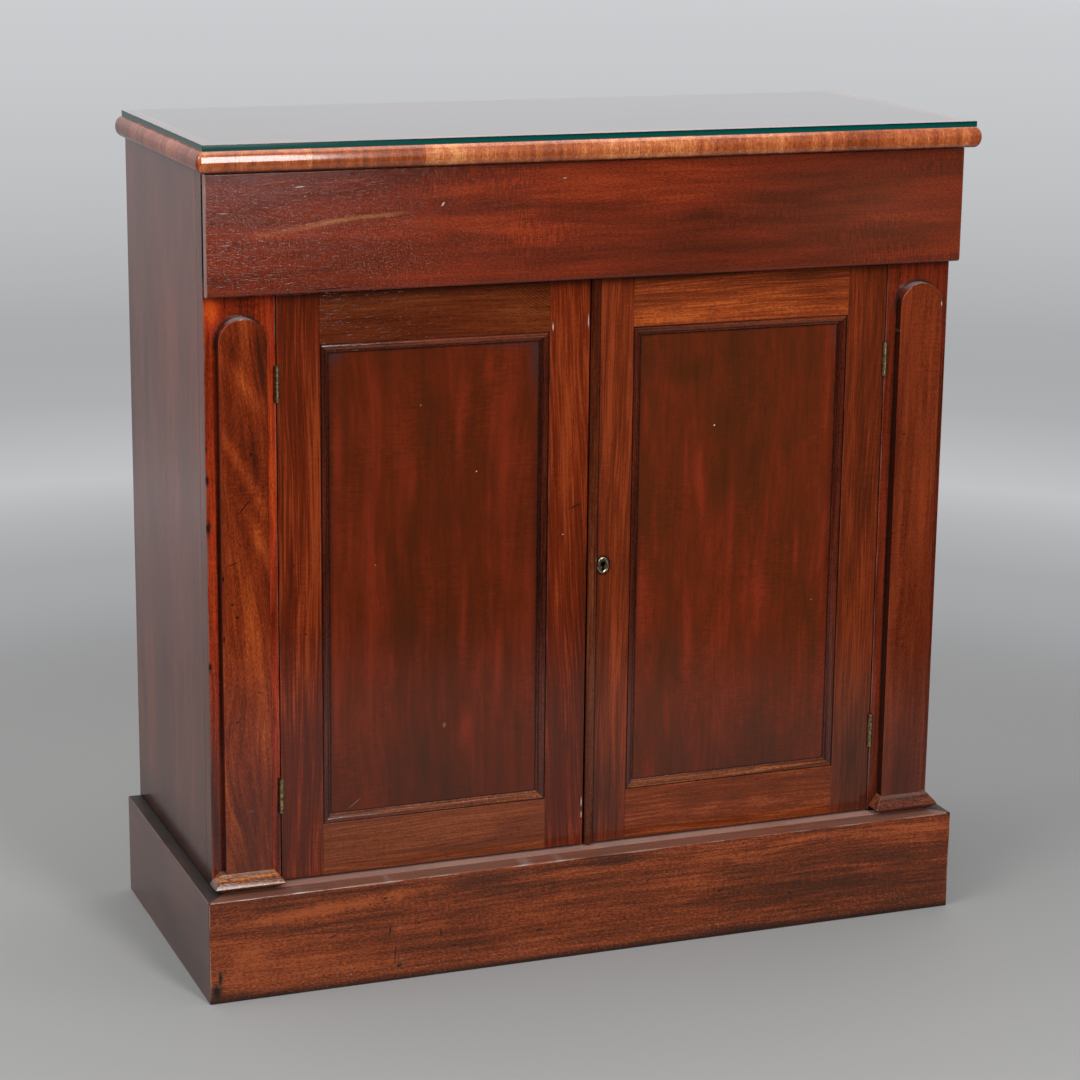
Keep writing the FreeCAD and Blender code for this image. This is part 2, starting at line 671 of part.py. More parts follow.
# ---- keyhole and lock ---------------------------------------------------------------------------
def keyhole(y0, y1):
    """The key's way: a round hole with a narrow slot below it."""
    centre = V(KEY_X, y0, KEY_Z)
    hole = rod(KEY_RADIUS, centre, V(KEY_X, y1, KEY_Z))
    half = KEY_SLOT_WIDTH / 2
    slot = box((KEY_X - half, KEY_X + half), (y0, y1), (KEY_Z - KEY_SLOT_DROP, KEY_Z))
    return hole.fuse(slot).removeSplitter()


def ellipse_disc(radius_x, radius_z, y, thickness):
    """An upright oval disc round the escutcheon's centre, from y towards the front."""
    centre = V(KEY_X, y, KEY_Z - PLATE_DROP)
    outline = Part.Ellipse(centre + V(0, 0, radius_z), centre + V(radius_x, 0, 0), centre)
    return Part.Face(Part.Wire([outline.toShape()])).extrude(V(0, -thickness, 0))


def keyhole_escutcheon():
    """Oval brass plate with a raised rim and a dished middle."""
    plate = ellipse_disc(PLATE_RADIUS_X, PLATE_RADIUS_Z, FRONT, PLATE_THICK)
    plate = softened(plate, PLATE_ARRIS, (1, FRONT - PLATE_THICK))
    dish_y = FRONT - PLATE_THICK + PLATE_DISH
    dish = ellipse_disc(PLATE_RADIUS_X - PLATE_RIM, PLATE_RADIUS_Z - PLATE_RIM, dish_y, PLATE_THICK)
    return plate.cut(dish).cut(keyhole(FRONT - PLATE_THICK - PAST, FRONT + PAST))


def lock_block():
    """The outside of the lock case, let into the meeting edge and the back of the right door."""
    x = (MEETING_RIGHT, MEETING_RIGHT + LOCK_WIDTH)
    z = (KEY_Z - LOCK_HEIGHT / 2, KEY_Z + LOCK_HEIGHT / 2)
    return box(x, (LOCK_FRONT, DOOR_BACK), z)


def right_door_meeting_stile():
    """Meeting stile of the right door, with the keyhole cut through and a bed for the lock."""
    _, _, sight, edge = door_limits(1)
    return door_stile(1, sight, edge).cut(keyhole(FRONT - PAST, DOOR_BACK)).cut(lock_block())


def lock_bolt_block(clearance, reach_out, reach_in):
    """The lock bolt, or with clearance and reach the channel it slides in."""
    z = KEY_Z + LOCK_BOLT_RISE
    half = LOCK_BOLT_HEIGHT / 2 + clearance
    middle = LOCK_FRONT + LOCK_THICK / 2
    deep = LOCK_BOLT_THICK / 2 + clearance
    x = (MEETING_RIGHT - reach_out, MEETING_RIGHT + LOCK_BOLT_LENGTH + reach_in)
    return box(x, (middle - deep, middle + deep), (z - half, z + half))


def lock_case():
    """Cupboard lock: a hollow round the key, and a channel for the bolt above it."""
    pocket_y = (LOCK_FRONT + LOCK_WALL, DOOR_BACK - LOCK_WALL)
    pocket = rod(LOCK_POCKET_RADIUS, V(KEY_X, pocket_y[0], KEY_Z), V(KEY_X, pocket_y[1], KEY_Z))
    case = lock_block().cut(pocket).cut(keyhole(LOCK_FRONT - PAST, pocket_y[0] + PAST))
    return case.cut(lock_bolt_block(LOCK_CLEARANCE, PAST, PAST))


# ---- slip bolts of the left door ----------------------------------------------------------------
def slip_levels(end):
    """Door end and direction out of the door, for the upper (+1) or lower (-1) bolt."""
    return DOOR_TOP if end > 0 else DOOR_LOW


def slip_span(end, near, far):
    """The z range between two distances from the door's end."""
    level = slip_levels(end)
    return tuple(sorted((level - end * near, level - end * far)))


def slip_slot(x, clearance, end):
    """Slot along which the thumb stud travels."""
    half = SLIP_STUD_RADIUS + clearance
    near = SLIP_STUD_FROM_END - SLIP_TRAVEL - half
    far = SLIP_STUD_FROM_END + half
    return box(x, (ROD_Y - half, ROD_Y + half), slip_span(end, near, far))


def slip_plate(end):
    """Brass face plate let flush into the meeting edge."""
    x = (MEETING_LEFT - SLIP_PLATE_THICK, MEETING_LEFT)
    half = SLIP_PLATE_WIDTH / 2
    plate = box(x, (ROD_Y - half, ROD_Y + half), slip_span(end, 0, SLIP_PLATE_LENGTH))
    return plate.cut(slip_slot((x[0] - PAST, x[1] + PAST), SLIP_SLOT_CLEARANCE, end))


def slip_pocket(end):
    """Wood removed for one slip bolt: plate recess, rod hole and stud slot."""
    x = (MEETING_LEFT - SLIP_PLATE_THICK, MEETING_LEFT + PAST)
    half = SLIP_PLATE_WIDTH / 2
    recess = box(x, (ROD_Y - half, ROD_Y + half), slip_span(end, 0, SLIP_PLATE_LENGTH))
    low, high = slip_span(end, -PAST, SLIP_HOLE_LENGTH)
    hole = rod(SLIP_ROD_RADIUS + SLIP_CLEARANCE, V(ROD_X, ROD_Y, low), V(ROD_X, ROD_Y, high))
    return recess.fuse(hole).fuse(slip_slot((ROD_X, x[0]), SLIP_SLOT_CLEARANCE, end))


def slip_bolt(end):
    """Sliding rod with its thumb stud, drawn back into the door."""
    low, high = slip_span(end, SLIP_END_GAP, SLIP_END_GAP + SLIP_ROD_LENGTH)
    body = rod(SLIP_ROD_RADIUS, V(ROD_X, ROD_Y, low), V(ROD_X, ROD_Y, high))
    level = slip_levels(end) - end * SLIP_STUD_FROM_END
    stud = rod(SLIP_STUD_RADIUS, V(ROD_X, ROD_Y, level), V(MEETING_LEFT - SLIP_SLOT_CLEARANCE, ROD_Y, level))
    return body.fuse(stud).removeSplitter()


def left_door_meeting_stile():
    """Meeting stile of the left door, cut for the two slip bolts and mortised for the lock bolt."""
    _, _, sight, edge = door_limits(-1)
    stile = door_stile(-1, sight, edge)
    mortise = lock_bolt_block(LOCK_MORTISE_CLEARANCE, LOCK_TRAVEL + LOCK_MORTISE_SPARE, 0)
    return stile.cut(slip_pocket(1)).cut(slip_pocket(-1)).cut(mortise)


# ---- drawer -------------------------------------------------------------------------------------
def dovetails(side, root, tip, z, count):
    """Tails of a drawer side, flaring from the root to the tip."""
    x = across(side, DRAWER_INSIDE, DRAWER_HALF)
    pitch = (z[1] - z[0]) / count
    tails = []
    for index in range(count):
        middle = z[0] + pitch * (index + 0.5)
        narrow = TAIL_ROOT * pitch
        wide = TAIL_TIP * pitch
        corners = [
            V(x[0], root, middle - narrow),
            V(x[0], tip, middle - wide),
            V(x[0], tip, middle + wide),
            V(x[0], root, middle + narrow),
        ]
        tails.append(prism(corners, V(x[1] - x[0], 0, 0)))
    return tails


def front_tails(side):
    tip = DRAWER_INNER_BACK - LAP_DEPTH
    return dovetails(side, DRAWER_INNER_BACK, tip, (DRAWER_LOW, DRAWER_HIGH), FRONT_TAILS)


def rear_tails(side):
    low = DRAWER_LOW + DRAWER_BOTTOM_RAISE + DRAWER_BOTTOM_THICK
    root = DRAWER_REAR - DRAWER_SIDE_THICK
    return dovetails(side, root, DRAWER_REAR, (low, DRAWER_HIGH - DRAWER_BACK_DROP), REAR_TAILS)


def drawer_bottom():
    """Thin bottom that slides into the grooves from behind and runs under the back."""
    half = DRAWER_INSIDE + DRAWER_GROOVE
    low = DRAWER_LOW + DRAWER_BOTTOM_RAISE
    y = (DRAWER_INNER_BACK - DRAWER_GROOVE, DRAWER_REAR)
    return box((-half, half), y, (low, low + DRAWER_BOTTOM_THICK))


def drawer_side(side):
    """Side of the drawer with lapped dovetails in front and through dovetails behind."""
    y = (DRAWER_INNER_BACK, DRAWER_REAR - DRAWER_SIDE_THICK)
    board = box(across(side, DRAWER_INSIDE, DRAWER_HALF), y, (DRAWER_LOW, DRAWER_HIGH))
    return board.fuse(front_tails(side) + rear_tails(side)).removeSplitter().cut(drawer_bottom())


def drawer_front():
    """One thick plank: a full-width facing with a rolled lower edge, and a tongue that carries the sides."""
    half = OVERLAY_WIDTH / 2
    top = CARCASS_TOP - OVERLAY_TOP_GAP
    facing = box((-half, half), (DRAWER_FACE, OVERLAY_BACK), (OVERLAY_BOTTOM, top))
    facing = softened(facing, OVERLAY_LOW_ROUND, (1, DRAWER_FACE), (2, OVERLAY_BOTTOM))
    facing = softened(facing, OVERLAY_TOP_ROUND, (1, DRAWER_FACE), (2, top))
    inner = box((-DRAWER_HALF, DRAWER_HALF), (OVERLAY_BACK, DRAWER_INNER_BACK), (DRAWER_LOW, DRAWER_HIGH))
    front = facing.fuse(inner).removeSplitter()
    for side in (-1, 1):
        front = front.cut(front_tails(side))
    return front.cut(drawer_bottom())


def drawer_back():
    """Back of the drawer, between the tails of the sides and above the bottom."""
    low = DRAWER_LOW + DRAWER_BOTTOM_RAISE + DRAWER_BOTTOM_THICK
    y = (DRAWER_REAR - DRAWER_SIDE_THICK, DRAWER_REAR)
    board = box((-DRAWER_HALF, DRAWER_HALF), y, (low, DRAWER_HIGH - DRAWER_BACK_DROP))
    for side in (-1, 1):
        board = board.cut(rear_tails(side))
    return board


# ---- all sub-parts ------------------------------------------------------------------------------
os.makedirs("parts", exist_ok=True)

write("plinth_front", plinth_front())
both_sides("plinth_side", plinth_side)
write("plinth_back", plinth_back())
write("plinth_ledge_rail", plinth_ledge_rail())
write("plinth_corner_blocks", plinth_corner_blocks())

both_sides("side_panel", side_panel)
write("bottom_board", bottom_board())
write("drawer_divider_rail", drawer_divider_rail())
write("top_rail_front", front_rail(TOP_RAIL_LOW, CARCASS_TOP))
write("top_rail_back", top_rail_back())
both_sides("drawer_runner", drawer_runner)
write("drawer_kickers", drawer_kickers())
write("dustboard", dustboard_slab())
write("shelf", shelf())
write("shelf_bearers", shelf_bearers())
for number, place in enumerate(("left", "middle", "right")):
    write("back_board_" + place, back_board(number))

write("top_board", top_board())
write("top_edge_front", top_edge_front())
both_sides("top_edge", top_edge_side)
write("glass_top", glass_top())

both_sides("pilaster_stile", pilaster_stile)
both_sides("pilaster_strip", pilaster_strip)
both_sides("pilaster_foot", pilaster_foot)

for name, side in (("left_door", -1), ("right_door", 1)):
    bottom_rail, top_rail = door_rails(side)
    write(name + "_hinge_stile", door_hinge_stile(side))
    write(name + "_bottom_rail", bottom_rail)
    write(name + "_top_rail", top_rail)
    write(name + "_panel", door_panel(side))
    write(name + "_moulding", door_moulding(side))
    write(name + "_hinge_leaves", hinge_leaves([side], 1, DOOR_OUTER - LEAF_THICK))
write("left_door_meeting_stile", left_door_meeting_stile())
write("right_door_meeting_stile", right_door_meeting_stile())
write("right_door_bead", right_door_bead())
write("hinge_fixed_leaves", hinge_leaves([-1, 1], 0, STILE_EDGE))
write("hinge_pins", hinge_pins())

write("keyhole_escutcheon", keyhole_escutcheon())
write("lock_case", lock_case())
write("lock_bolt", lock_bolt_block(0, 0, 0))
write("slip_bolt_plates", Part.makeCompound([slip_plate(1), slip_plate(-1)]))
write("slip_bolt_upper", slip_bolt(1))
write("slip_bolt_lower", slip_bolt(-1))

write("drawer_front", drawer_front())
both_sides("drawer_side", drawer_side)
write("drawer_back", drawer_back())
write("drawer_bottom", drawer_bottom())
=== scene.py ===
# %% [markdown]
# A mahogany chiffonier. The frame holds its joinery as plain solids at their real size. This
# lesson dresses them: it softens the arrises, gives every board its own grain and polish, lays the
# veneer on the edge of the top, adds glass, brass, screws and nails, and lights the piece in a
# pale studio. The frame comes first, because every later piece takes its place and size from it.

import json
import math
import random
from collections import namedtuple

import bmesh
import bpy
from mathutils import Matrix, Vector, noise

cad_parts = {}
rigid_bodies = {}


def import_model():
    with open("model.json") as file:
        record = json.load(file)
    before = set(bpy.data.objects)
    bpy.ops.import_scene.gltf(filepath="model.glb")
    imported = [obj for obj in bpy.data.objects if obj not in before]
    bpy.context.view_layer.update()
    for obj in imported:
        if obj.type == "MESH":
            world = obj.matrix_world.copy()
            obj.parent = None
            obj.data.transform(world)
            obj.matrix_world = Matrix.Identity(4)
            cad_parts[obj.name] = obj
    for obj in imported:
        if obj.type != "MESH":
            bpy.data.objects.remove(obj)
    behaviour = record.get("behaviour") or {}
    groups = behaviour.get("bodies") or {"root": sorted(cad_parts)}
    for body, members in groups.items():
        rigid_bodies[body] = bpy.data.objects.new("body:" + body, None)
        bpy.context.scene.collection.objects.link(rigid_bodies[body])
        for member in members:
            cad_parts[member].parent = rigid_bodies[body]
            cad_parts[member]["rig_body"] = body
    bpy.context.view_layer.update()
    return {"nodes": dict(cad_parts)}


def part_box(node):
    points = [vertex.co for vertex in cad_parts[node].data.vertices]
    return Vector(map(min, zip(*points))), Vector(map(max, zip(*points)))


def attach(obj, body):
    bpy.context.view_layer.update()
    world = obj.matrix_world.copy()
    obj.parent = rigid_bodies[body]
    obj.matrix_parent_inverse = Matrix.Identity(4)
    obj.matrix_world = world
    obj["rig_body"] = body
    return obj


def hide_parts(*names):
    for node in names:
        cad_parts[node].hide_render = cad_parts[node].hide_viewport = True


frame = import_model()
nodes = frame["nodes"]

# %% [markdown]
# A few planes of the joinery place everything else. They are read from the frame's boxes, so that
# a change of the solids carries through. "Low" and "high" are a node's lowest and highest corners.

# %% Planes of the joinery
MM = 0.001


def low(name):
    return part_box(name)[0]


def high(name):
    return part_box(name)[1]


PLINTH_TOP = high("plinth_front").z
STILE_FACE = low("pilaster_stile_left").y
STRIP_FACE = low("pilaster_strip_left").y
HALF_CARCASS = high("side_panel_right").x
CARCASS_TOP = high("side_panel_right").z
BACK = high("side_panel_right").y
DRAWER_LOW = low("drawer_front").z
TOP_LOW = low("top_board").z
TOP_HIGH = high("top_board").z
TOP_BACK = high("top_board").y
TOP_FRONT = low("top_edge_front").y
HALF_TOP = high("top_edge_front").x
print("plinth top", round(PLINTH_TOP, 4), "top", round(TOP_HIGH, 4))

# %% [markdown]
# The camera stands to the left of the cabinet and looks slightly down with a long lens. Its place
# and angles are fixed here, before the lights, which are set for the view through it.

# %% Camera
SENSOR = 36.0
PICTURE = 1080
FOCAL_PIXELS = 2952.956
CAMERA_PLACE = Vector((-1.156969, -2.999763, 1.237552))
YAW = math.radians(21.061)
PITCH = math.radians(14.152)
ROLL = math.radians(0.649)

forward = Vector((
    math.sin(YAW) * math.cos(PITCH), math.cos(YAW) * math.cos(PITCH), -math.sin(PITCH)))
level = Vector((math.cos(YAW), -math.sin(YAW), 0))
upright = level.cross(forward)
right = level * math.cos(ROLL) + upright * math.sin(ROLL)
up = upright * math.cos(ROLL) - level * math.sin(ROLL)
turn = Matrix((right, up, -forward)).transposed().to_4x4()

lens = bpy.data.cameras.new("camera")
lens.sensor_width = SENSOR
lens.lens = FOCAL_PIXELS / PICTURE * SENSOR
camera = bpy.data.objects.new("camera", lens)
camera.matrix_world = Matrix.Translation(CAMERA_PLACE) @ turn
bpy.context.scene.collection.objects.link(camera)
bpy.context.scene.camera = camera
print("lens", round(lens.lens, 2), "mm")

# %% [markdown]
# A finish on the real piece is the sum of many faint layers, so its nodes are mostly arithmetic.
# They could be wired by hand, one Math node after another, but shader maths reads best as plain
# expressions. `Wire` wraps a socket and turns Python's operators into Math nodes.


# %% Numbers in a shader
class Wire:
    """A socket that can be used as a number in an expression."""

    def __init__(self, finish, socket):
        self.finish = finish
        self.socket = socket

    def math(self, operation, *values):
        return self.finish.add("ShaderNodeMath", {"operation": operation}, values)

    def __add__(self, other):
        return self.math("ADD", self, other)

    def __sub__(self, other):
        return self.math("SUBTRACT", self, other)

    def __mul__(self, other):
        return self.math("MULTIPLY", self, other)

    def __pow__(self, other):
        return self.math("POWER", self, other)

    def __rsub__(self, other):
        return self.math("SUBTRACT", other, self)

    __radd__ = __add__
    __rmul__ = __mul__

    def __abs__(self):
        return self.math("ABSOLUTE", self)

    def sine(self):
        return self.math("SINE", self)

    def angle(self, other):
        """The angle whose tangent is this number over the other."""
        return self.math("ARCTAN2", self, other)

    def least(self, other):
        return self.math("MINIMUM", self, other)

    def most(self, other):
        return self.math("MAXIMUM", self, other)

    def ease(self, start, end):
        """0 before start, 1 after end, smooth between; start may be the larger."""
        values = {"Value": self, "From Min": start, "From Max": end}
        return self.finish.add("ShaderNodeMapRange", {"interpolation_type": "SMOOTHSTEP"}, values)


print("operators:", ", ".join(name for name in vars(Wire) if name.startswith("__")))

# %% [markdown]
# Colours are written as hex codes, as a maker of stains would note them, and go into the shader as
# linear light. `dimmed` gives the same colour in a deeper shade.


# %% Colours
def hues(codes):
    """Linear colours from a row of hex codes."""
    found = []
    for code in codes.split():
        parts = [int(code[i:i + 2], 16) / 255 for i in (0, 2, 4)]
        found.append([p / 12.92 if p <= 0.04045 else ((p + 0.055) / 1.055) ** 2.4 for p in parts])
    return found


def dimmed(colour, share):
    return [c * share for c in colour]


def colour_of(value):
    """A colour as its socket wants it: with an alpha, or as the link it already is."""
    return value if isinstance(value, Wire) else (*value, 1)


print("a red of the drawer in linear light:", [round(c, 3) for c in hues("712a18")[0]])

# %% [markdown]
# `Finish` is one material under construction. Its `add` method makes every node: settings first,
# such as an operation or a ramp's stops, then the values or links of the sockets. The other
# methods name the nodes that the finishes of this cabinet use again and again.


# %% A material under construction
class Finish:
    """One material and the tree of its nodes."""

    def __init__(self, name):
        self.material = bpy.data.materials.new(name)
        self.material.use_nodes = True
        self.tree = self.material.node_tree
        self.tree.nodes.clear()

    def add(self, kind, settings=None, values=(), output=0):
        """Adds a node and returns one of its outputs."""
        made = self.tree.nodes.new(kind)
        for name, value in (settings or {}).items():
            if name == "stops":
                self._set_stops(made.color_ramp, value)
            else:
                setattr(made, name, value)
        pairs = values.items() if isinstance(values, dict) else enumerate(values)
        for key, value in pairs:
            if isinstance(value, Wire):
                self.tree.links.new(value.socket, made.inputs[key])
            else:
                made.inputs[key].default_value = value
        return Wire(self, made.outputs[output]) if made.outputs else None

    @staticmethod
    def _set_stops(ramp, stops):
        while len(ramp.elements) < len(stops):
            ramp.elements.new(0.5)
        for element, (place, colour) in zip(ramp.elements, stops):
            element.position = place
            element.color = (*colour, 1)

    def attribute(self, name):
        """A vector that the mesh carries on its points."""
        return self.add("ShaderNodeAttribute", {"attribute_name": name}, output="Vector")

    def amount(self, name):
        """A number that the mesh carries on its points."""
        return self.add("ShaderNodeAttribute", {"attribute_name": name}, output="Fac")

    def place(self):
        """The point's own place in the cabinet, in metres."""
        return self.add("ShaderNodeTexCoord", output="Object")

    def facing(self):
        """The way the surface faces."""
        return self.add("ShaderNodeNewGeometry", output="Normal")

    def split(self, vector):
        made = self.add("ShaderNodeSeparateXYZ", values=[vector])
        return [Wire(self, socket) for socket in made.socket.node.outputs]

    def join(self, x, y, z):
        return self.add("ShaderNodeCombineXYZ", values=[x, y, z])

    def stretch(self, vector, scale):
        return self.add("ShaderNodeVectorMath", {"operation": "MULTIPLY"}, [vector, scale])

    def cloud(self, vector, scale, detail=2.0, roughness=0.5):
        """Noise about 0, from -0.5 to 0.5; the scale is one number, or one for each axis."""
        scale = scale if isinstance(scale, tuple) else (scale,) * 3
        values = {"Vector": self.stretch(vector, scale), "Scale": 1.0, "Detail": detail,
                  "Roughness": roughness}
        return self.add("ShaderNodeTexNoise", values=values) - 0.5

    def ramp(self, factor, *stops):
        return self.add("ShaderNodeValToRGB", {"stops": stops}, [factor])

    def mix(self, factor, first, second, blend="MIX"):
        """Blends two colours."""
        values = {0: factor, 6: colour_of(first), 7: colour_of(second)}
        return self.add(
            "ShaderNodeMix", {"data_type": "RGBA", "blend_type": blend}, values, output=2)

    def bump(self, distance, height):
        """Normals bent by a height, whose unit is the distance in metres."""
        return self.add("ShaderNodeBump", values={"Distance": distance, "Height": height})

    def surface(self, values):
        """A Principled shader with these values or links."""
        return self.add("ShaderNodeBsdfPrincipled", values=values)

    def close(self, shader):
        """Links the shader to the material's output and hands the material over."""
        self.add("ShaderNodeOutputMaterial", values={"Surface": shader})
        print("finish", self.material.name, "with", len(self.tree.nodes), "nodes")
        return self.material


print("node makers:", ", ".join(name for name in vars(Finish) if not name.startswith("_")))

# %% [markdown]
# French-polished mahogany is built in layers, as on the real thing: a ribbon figure that follows
# the board's length, fine cross-fire where the light catches the curl of the fibres, pore lines, a
# darker film of old polish that lies in patches, wear that bares the arrises, dust on what faces
# up, which on some boards is also a painted sheen, and dirt with painted shade where two boards
# meet and on faces that turn sideways. The pattern follows a "grain" vector that each board
# carries, so one recipe serves boards that stand, lie or slant. Wear reads the board's own box:
# the distance to the nearest arris is the middle one of the three distances to its faces.
# Everything
# local is an oval on the front: a blot lifts or drops the tone of the figure, as flames, knots and
# streaks do, and a mark is a dent, a scratch, a nick, a bloom of one colour, or a patch of painted
# shadow, shade or sheen.

# %% Where wear and marks lie
FAR = 9.0
OVAL_EDGE = 1.2
Blot = namedtuple("Blot", "x z length width turn amount core", defaults=(90, 0.3, -0.3))
Mark = namedtuple("Mark", "x z length width turn colour strength core",
                  defaults=(0, (0.01, 0.006, 0.004), 1.0, 0.2))


def arris_distance(finish):
    """Metres to the nearest arris of the board's own box."""
    distances = []
    highs = finish.split(finish.attribute("high_corner"))
    lows = finish.split(finish.attribute("low_corner"))
    for here, start, end in zip(finish.split(finish.place()), lows, highs):
        distances.append((here - start).least(end - here))
    x, y, z = distances
    return x.most(y).least(y.most(z)).least(x.most(z))


def oval(finish, here, spot, ragged):
    """A soft oval: its place, half length and half width in mm, turned in degrees. It is 1
    within its core, a share of its size, and 0 outside."""
    values = {
        "Vector": here,
        "Location": (spot.x * MM, 0, spot.z * MM),
        "Rotation": (0, -math.radians(spot.turn), 0),
        "Scale": (spot.length * MM, FAR, spot.width * MM),
    }
    local = finish.add("ShaderNodeMapping", {"vector_type": "TEXTURE"}, values)
    distance = finish.add("ShaderNodeVectorMath", {"operation": "LENGTH"}, [local], output="Value")
    return (distance + ragged).ease(OVAL_EDGE, spot.core)


print("a blot has", Blot._fields, "and a mark", Mark._fields)

# %% [markdown]
# The recipe takes a `look`, the amounts in which a board has each layer, and a board only names
# what it has more or less of than this plain one. Its list of lines holds dark lines of dirt and
# painted shade where parts meet, each (axis, place, reach).

# %% The plain look
PLAIN_LOOK = {
    # figure: bands along and across the grain, the amount of each layer, and what lies on it
    "ribbon": 4.0, "stripes": 75.0, "sway": 0.02, "drift": 1.0, "stripe": 1.0, "line": 0.9,
    "fleck": 0.7, "fire": 0.4, "blots": (), "bold": 0.6, "figure": None, "shade": False,
    # polish: roughness, reflection, clear coat, pebbles, pores and old film
    "gloss": 0.1, "gleam": 0.34, "coat": 0.0, "pebble": 0.12, "craze": 420.0, "sparkle": None,
    "pore": 0.45, "film": 0.25,
    # wear: its reach from the arrises, its amount and colour
    "wear": 0.8 * MM, "worn": 0.3, "bare": (0.30, 0.10, 0.05), "scuff": 0.0, "marks": (),
    # dust or painted sheen facing up, painted shade facing sideways, crumbs, dirt and shade lines
    "dust": 0.5, "dust_colour": (0.17, 0.085, 0.06), "flank": 0.0, "crumbs": 0.6, "soil": (),
}
# Near black, for dirt and for painted shade in creases, gaps and under overhangs.
DIRT_AND_SHADE = (0.007, 0.0045, 0.0035)
print("a look names", len(PLAIN_LOOK), "amounts")

# %% [markdown]
# The figure comes first, as one tone: slow drift, ribbons, fine lines, flecks and cross-fire, each
# a stretched noise along the grain, and the blots, which the ribbons break up.


# %% Figure of the wood
def figure_tone(finish, here, grain, look):
    """The figure as a tone about 0.5."""
    slow = finish.cloud(grain, (2.5, 12.0, 12.0), 2.0)
    bands = finish.cloud(grain, (look["ribbon"], look["stripes"], look["stripes"]), 3.0, 0.6)
    lines = finish.cloud(grain, (14.0, look["stripes"] * 6, look["stripes"] * 6), 2.0, 0.6)
    flecks = finish.cloud(grain, (260.0, 850.0, 850.0), 1.5, 0.6)
    patches = finish.cloud(grain, (9.0, 16.0, 16.0), 1.0).ease(-0.05, 0.15)
    fire = finish.cloud(grain, (620.0, 75.0, 75.0), 1.5) * patches
    ribs = bands * look["stripe"] + lines * look["line"]
    tone = slow * look["drift"] + ribs + flecks * look["fleck"] + fire * look["fire"] + 0.5
    if look["blots"]:
        ragged = finish.cloud(here, (40.0, 40.0, 14.0), 4.0, 0.65) * 1.3 + ribs
        for blot in look["blots"]:
            tone = tone + oval(finish, here, blot, ragged) * (blot.amount * look["bold"])
    if look["figure"]:
        tone = look["figure"](finish, here, tone)
    if look["shade"]:
        tone = tone + finish.amount("shade")
    return tone


print("figure layers: drift, ribbons, lines, flecks, fire, blots")

# %% [markdown]
# Then the layers of the surface, in this order: pores and old film, bare arrises, marks and
# scuffs, dirt with painted shade, dust or painted sheen on what faces up, and on the drawer
# painted glints. The four shades are what the tone picks from, and most of a board lies between
# the middle two. The same masks set the colour, the roughness and the bump.

# %% Mahogany
TONE_STOPS = (0.14, 0.41, 0.59, 0.86)
SCUFFED = 38 * MM
RAGGED_WIDTH = 5.0
PORE_DEPTH = 0.35
FILM_DEPTH = 0.8


def mahogany(name, codes, **changes):
    """Polished mahogany in four shades, given as hex codes from the darkest to the lightest."""
    look = {**PLAIN_LOOK, **changes}
    shades = hues(codes)
    finish = Finish(name)
    grain = finish.attribute("grain")
    along, across, through = finish.split(grain)
    grain = finish.join(
        along, across + finish.cloud(grain, (3.0, 8.0, 8.0), 2.0) * look["sway"], through)
    here = finish.place()
    coordinates = finish.split(here)
    tone = figure_tone(finish, here, grain, look)
    colour = finish.ramp(tone, *zip(TONE_STOPS, shades))

    pores = finish.cloud(grain, (110.0, 1000.0, 1000.0), 1.0).ease(0.07, 0.22)
    colour = finish.mix(pores * look["pore"], colour, dimmed(shades[0], PORE_DEPTH))
    film = finish.cloud(here, (9.0, 9.0, 7.0), 4.0, 0.6)
    colour = finish.mix(film.ease(0.0, 0.3) * look["film"], colour, dimmed(shades[0], FILM_DEPTH))

    nibble = finish.cloud(here, 300.0, 3.0, 0.7)
    rub = finish.cloud(here, 20.0, 2.0)
    from_arris = arris_distance(finish) + nibble * (2 * MM) + rub * (4 * MM)
    bared = from_arris.ease(look["wear"], look["wear"] * 0.2)
    colour = finish.mix(bared * look["worn"], colour, look["bare"])

    faces = finish.split(finish.facing())
    # Painted shade on faces turned left or right, crumbs of dirt, and lines of dirt and painted
    # shade, mixed into one near-black mask.
    flank = abs(faces[0]).ease(0.85, 0.99) * look["flank"]
    dirt_and_shade_mask = flank.most(nibble.ease(0.22, 0.3) * look["crumbs"])
    for axis, place, reach in look["soil"]:
        near = abs(coordinates[axis] - place) + nibble * reach
        dirt_and_shade_mask = dirt_and_shade_mask.most(near.ease(reach, reach * 0.1) * 0.9)
    for mark in look["marks"]:
        ragged = nibble * min(1.0, RAGGED_WIDTH / mark.width)
        colour = finish.mix(oval(finish, here, mark, ragged) * mark.strength, colour, mark.colour)
    if look["scuff"]:
        low_down = (coordinates[2] + rub * 0.04).ease(SCUFFED, SCUFFED * 0.2)
        colour = finish.mix(
            nibble.ease(-0.06, -0.2) * low_down * look["scuff"], colour, look["bare"])
    colour = finish.mix(dirt_and_shade_mask, colour, DIRT_AND_SHADE)
    # Dust on what faces up; where its colour is pale, on the strips and the ledge, it is also a
    # painted sheen.
    dust = faces[2].ease(0.7, 0.97) * (film + nibble * 0.8 + 0.75) * look["dust"]
    colour = finish.mix(dust, colour, look["dust_colour"])

    skin = finish.cloud(here, look["craze"], 2.0, 0.6)
    # Painted glints: pale specks in the colour where the pebbled polish would catch the lamp.
    if look["sparkle"]:
        lit = look["sparkle"]
        painted_glint_specks = skin.ease(0.06, 0.2) * oval(finish, here, lit, rub)
        colour = finish.mix(painted_glint_specks * lit.strength, colour, lit.colour)
    swell = finish.cloud(here, 11.0, 1.0)
    height = skin * look["pebble"] - pores * 0.1 + swell * 0.8 - bared * 0.25 + nibble * 0.04
    values = {
        "Base Color": colour,
        "Roughness": look["gloss"] + film * 0.05 + bared * 0.15 + dirt_and_shade_mask * 0.1 + dust * 0.5,
        "Specular IOR Level": look["gleam"],
        "Coat Weight": (1 - (dirt_and_shade_mask + dust + bared).least(1.0)) * look["coat"],
        "Coat Roughness": 0.08,
        "Normal": finish.bump(0.0003, height),
    }
    return finish.close(finish.surface(values))
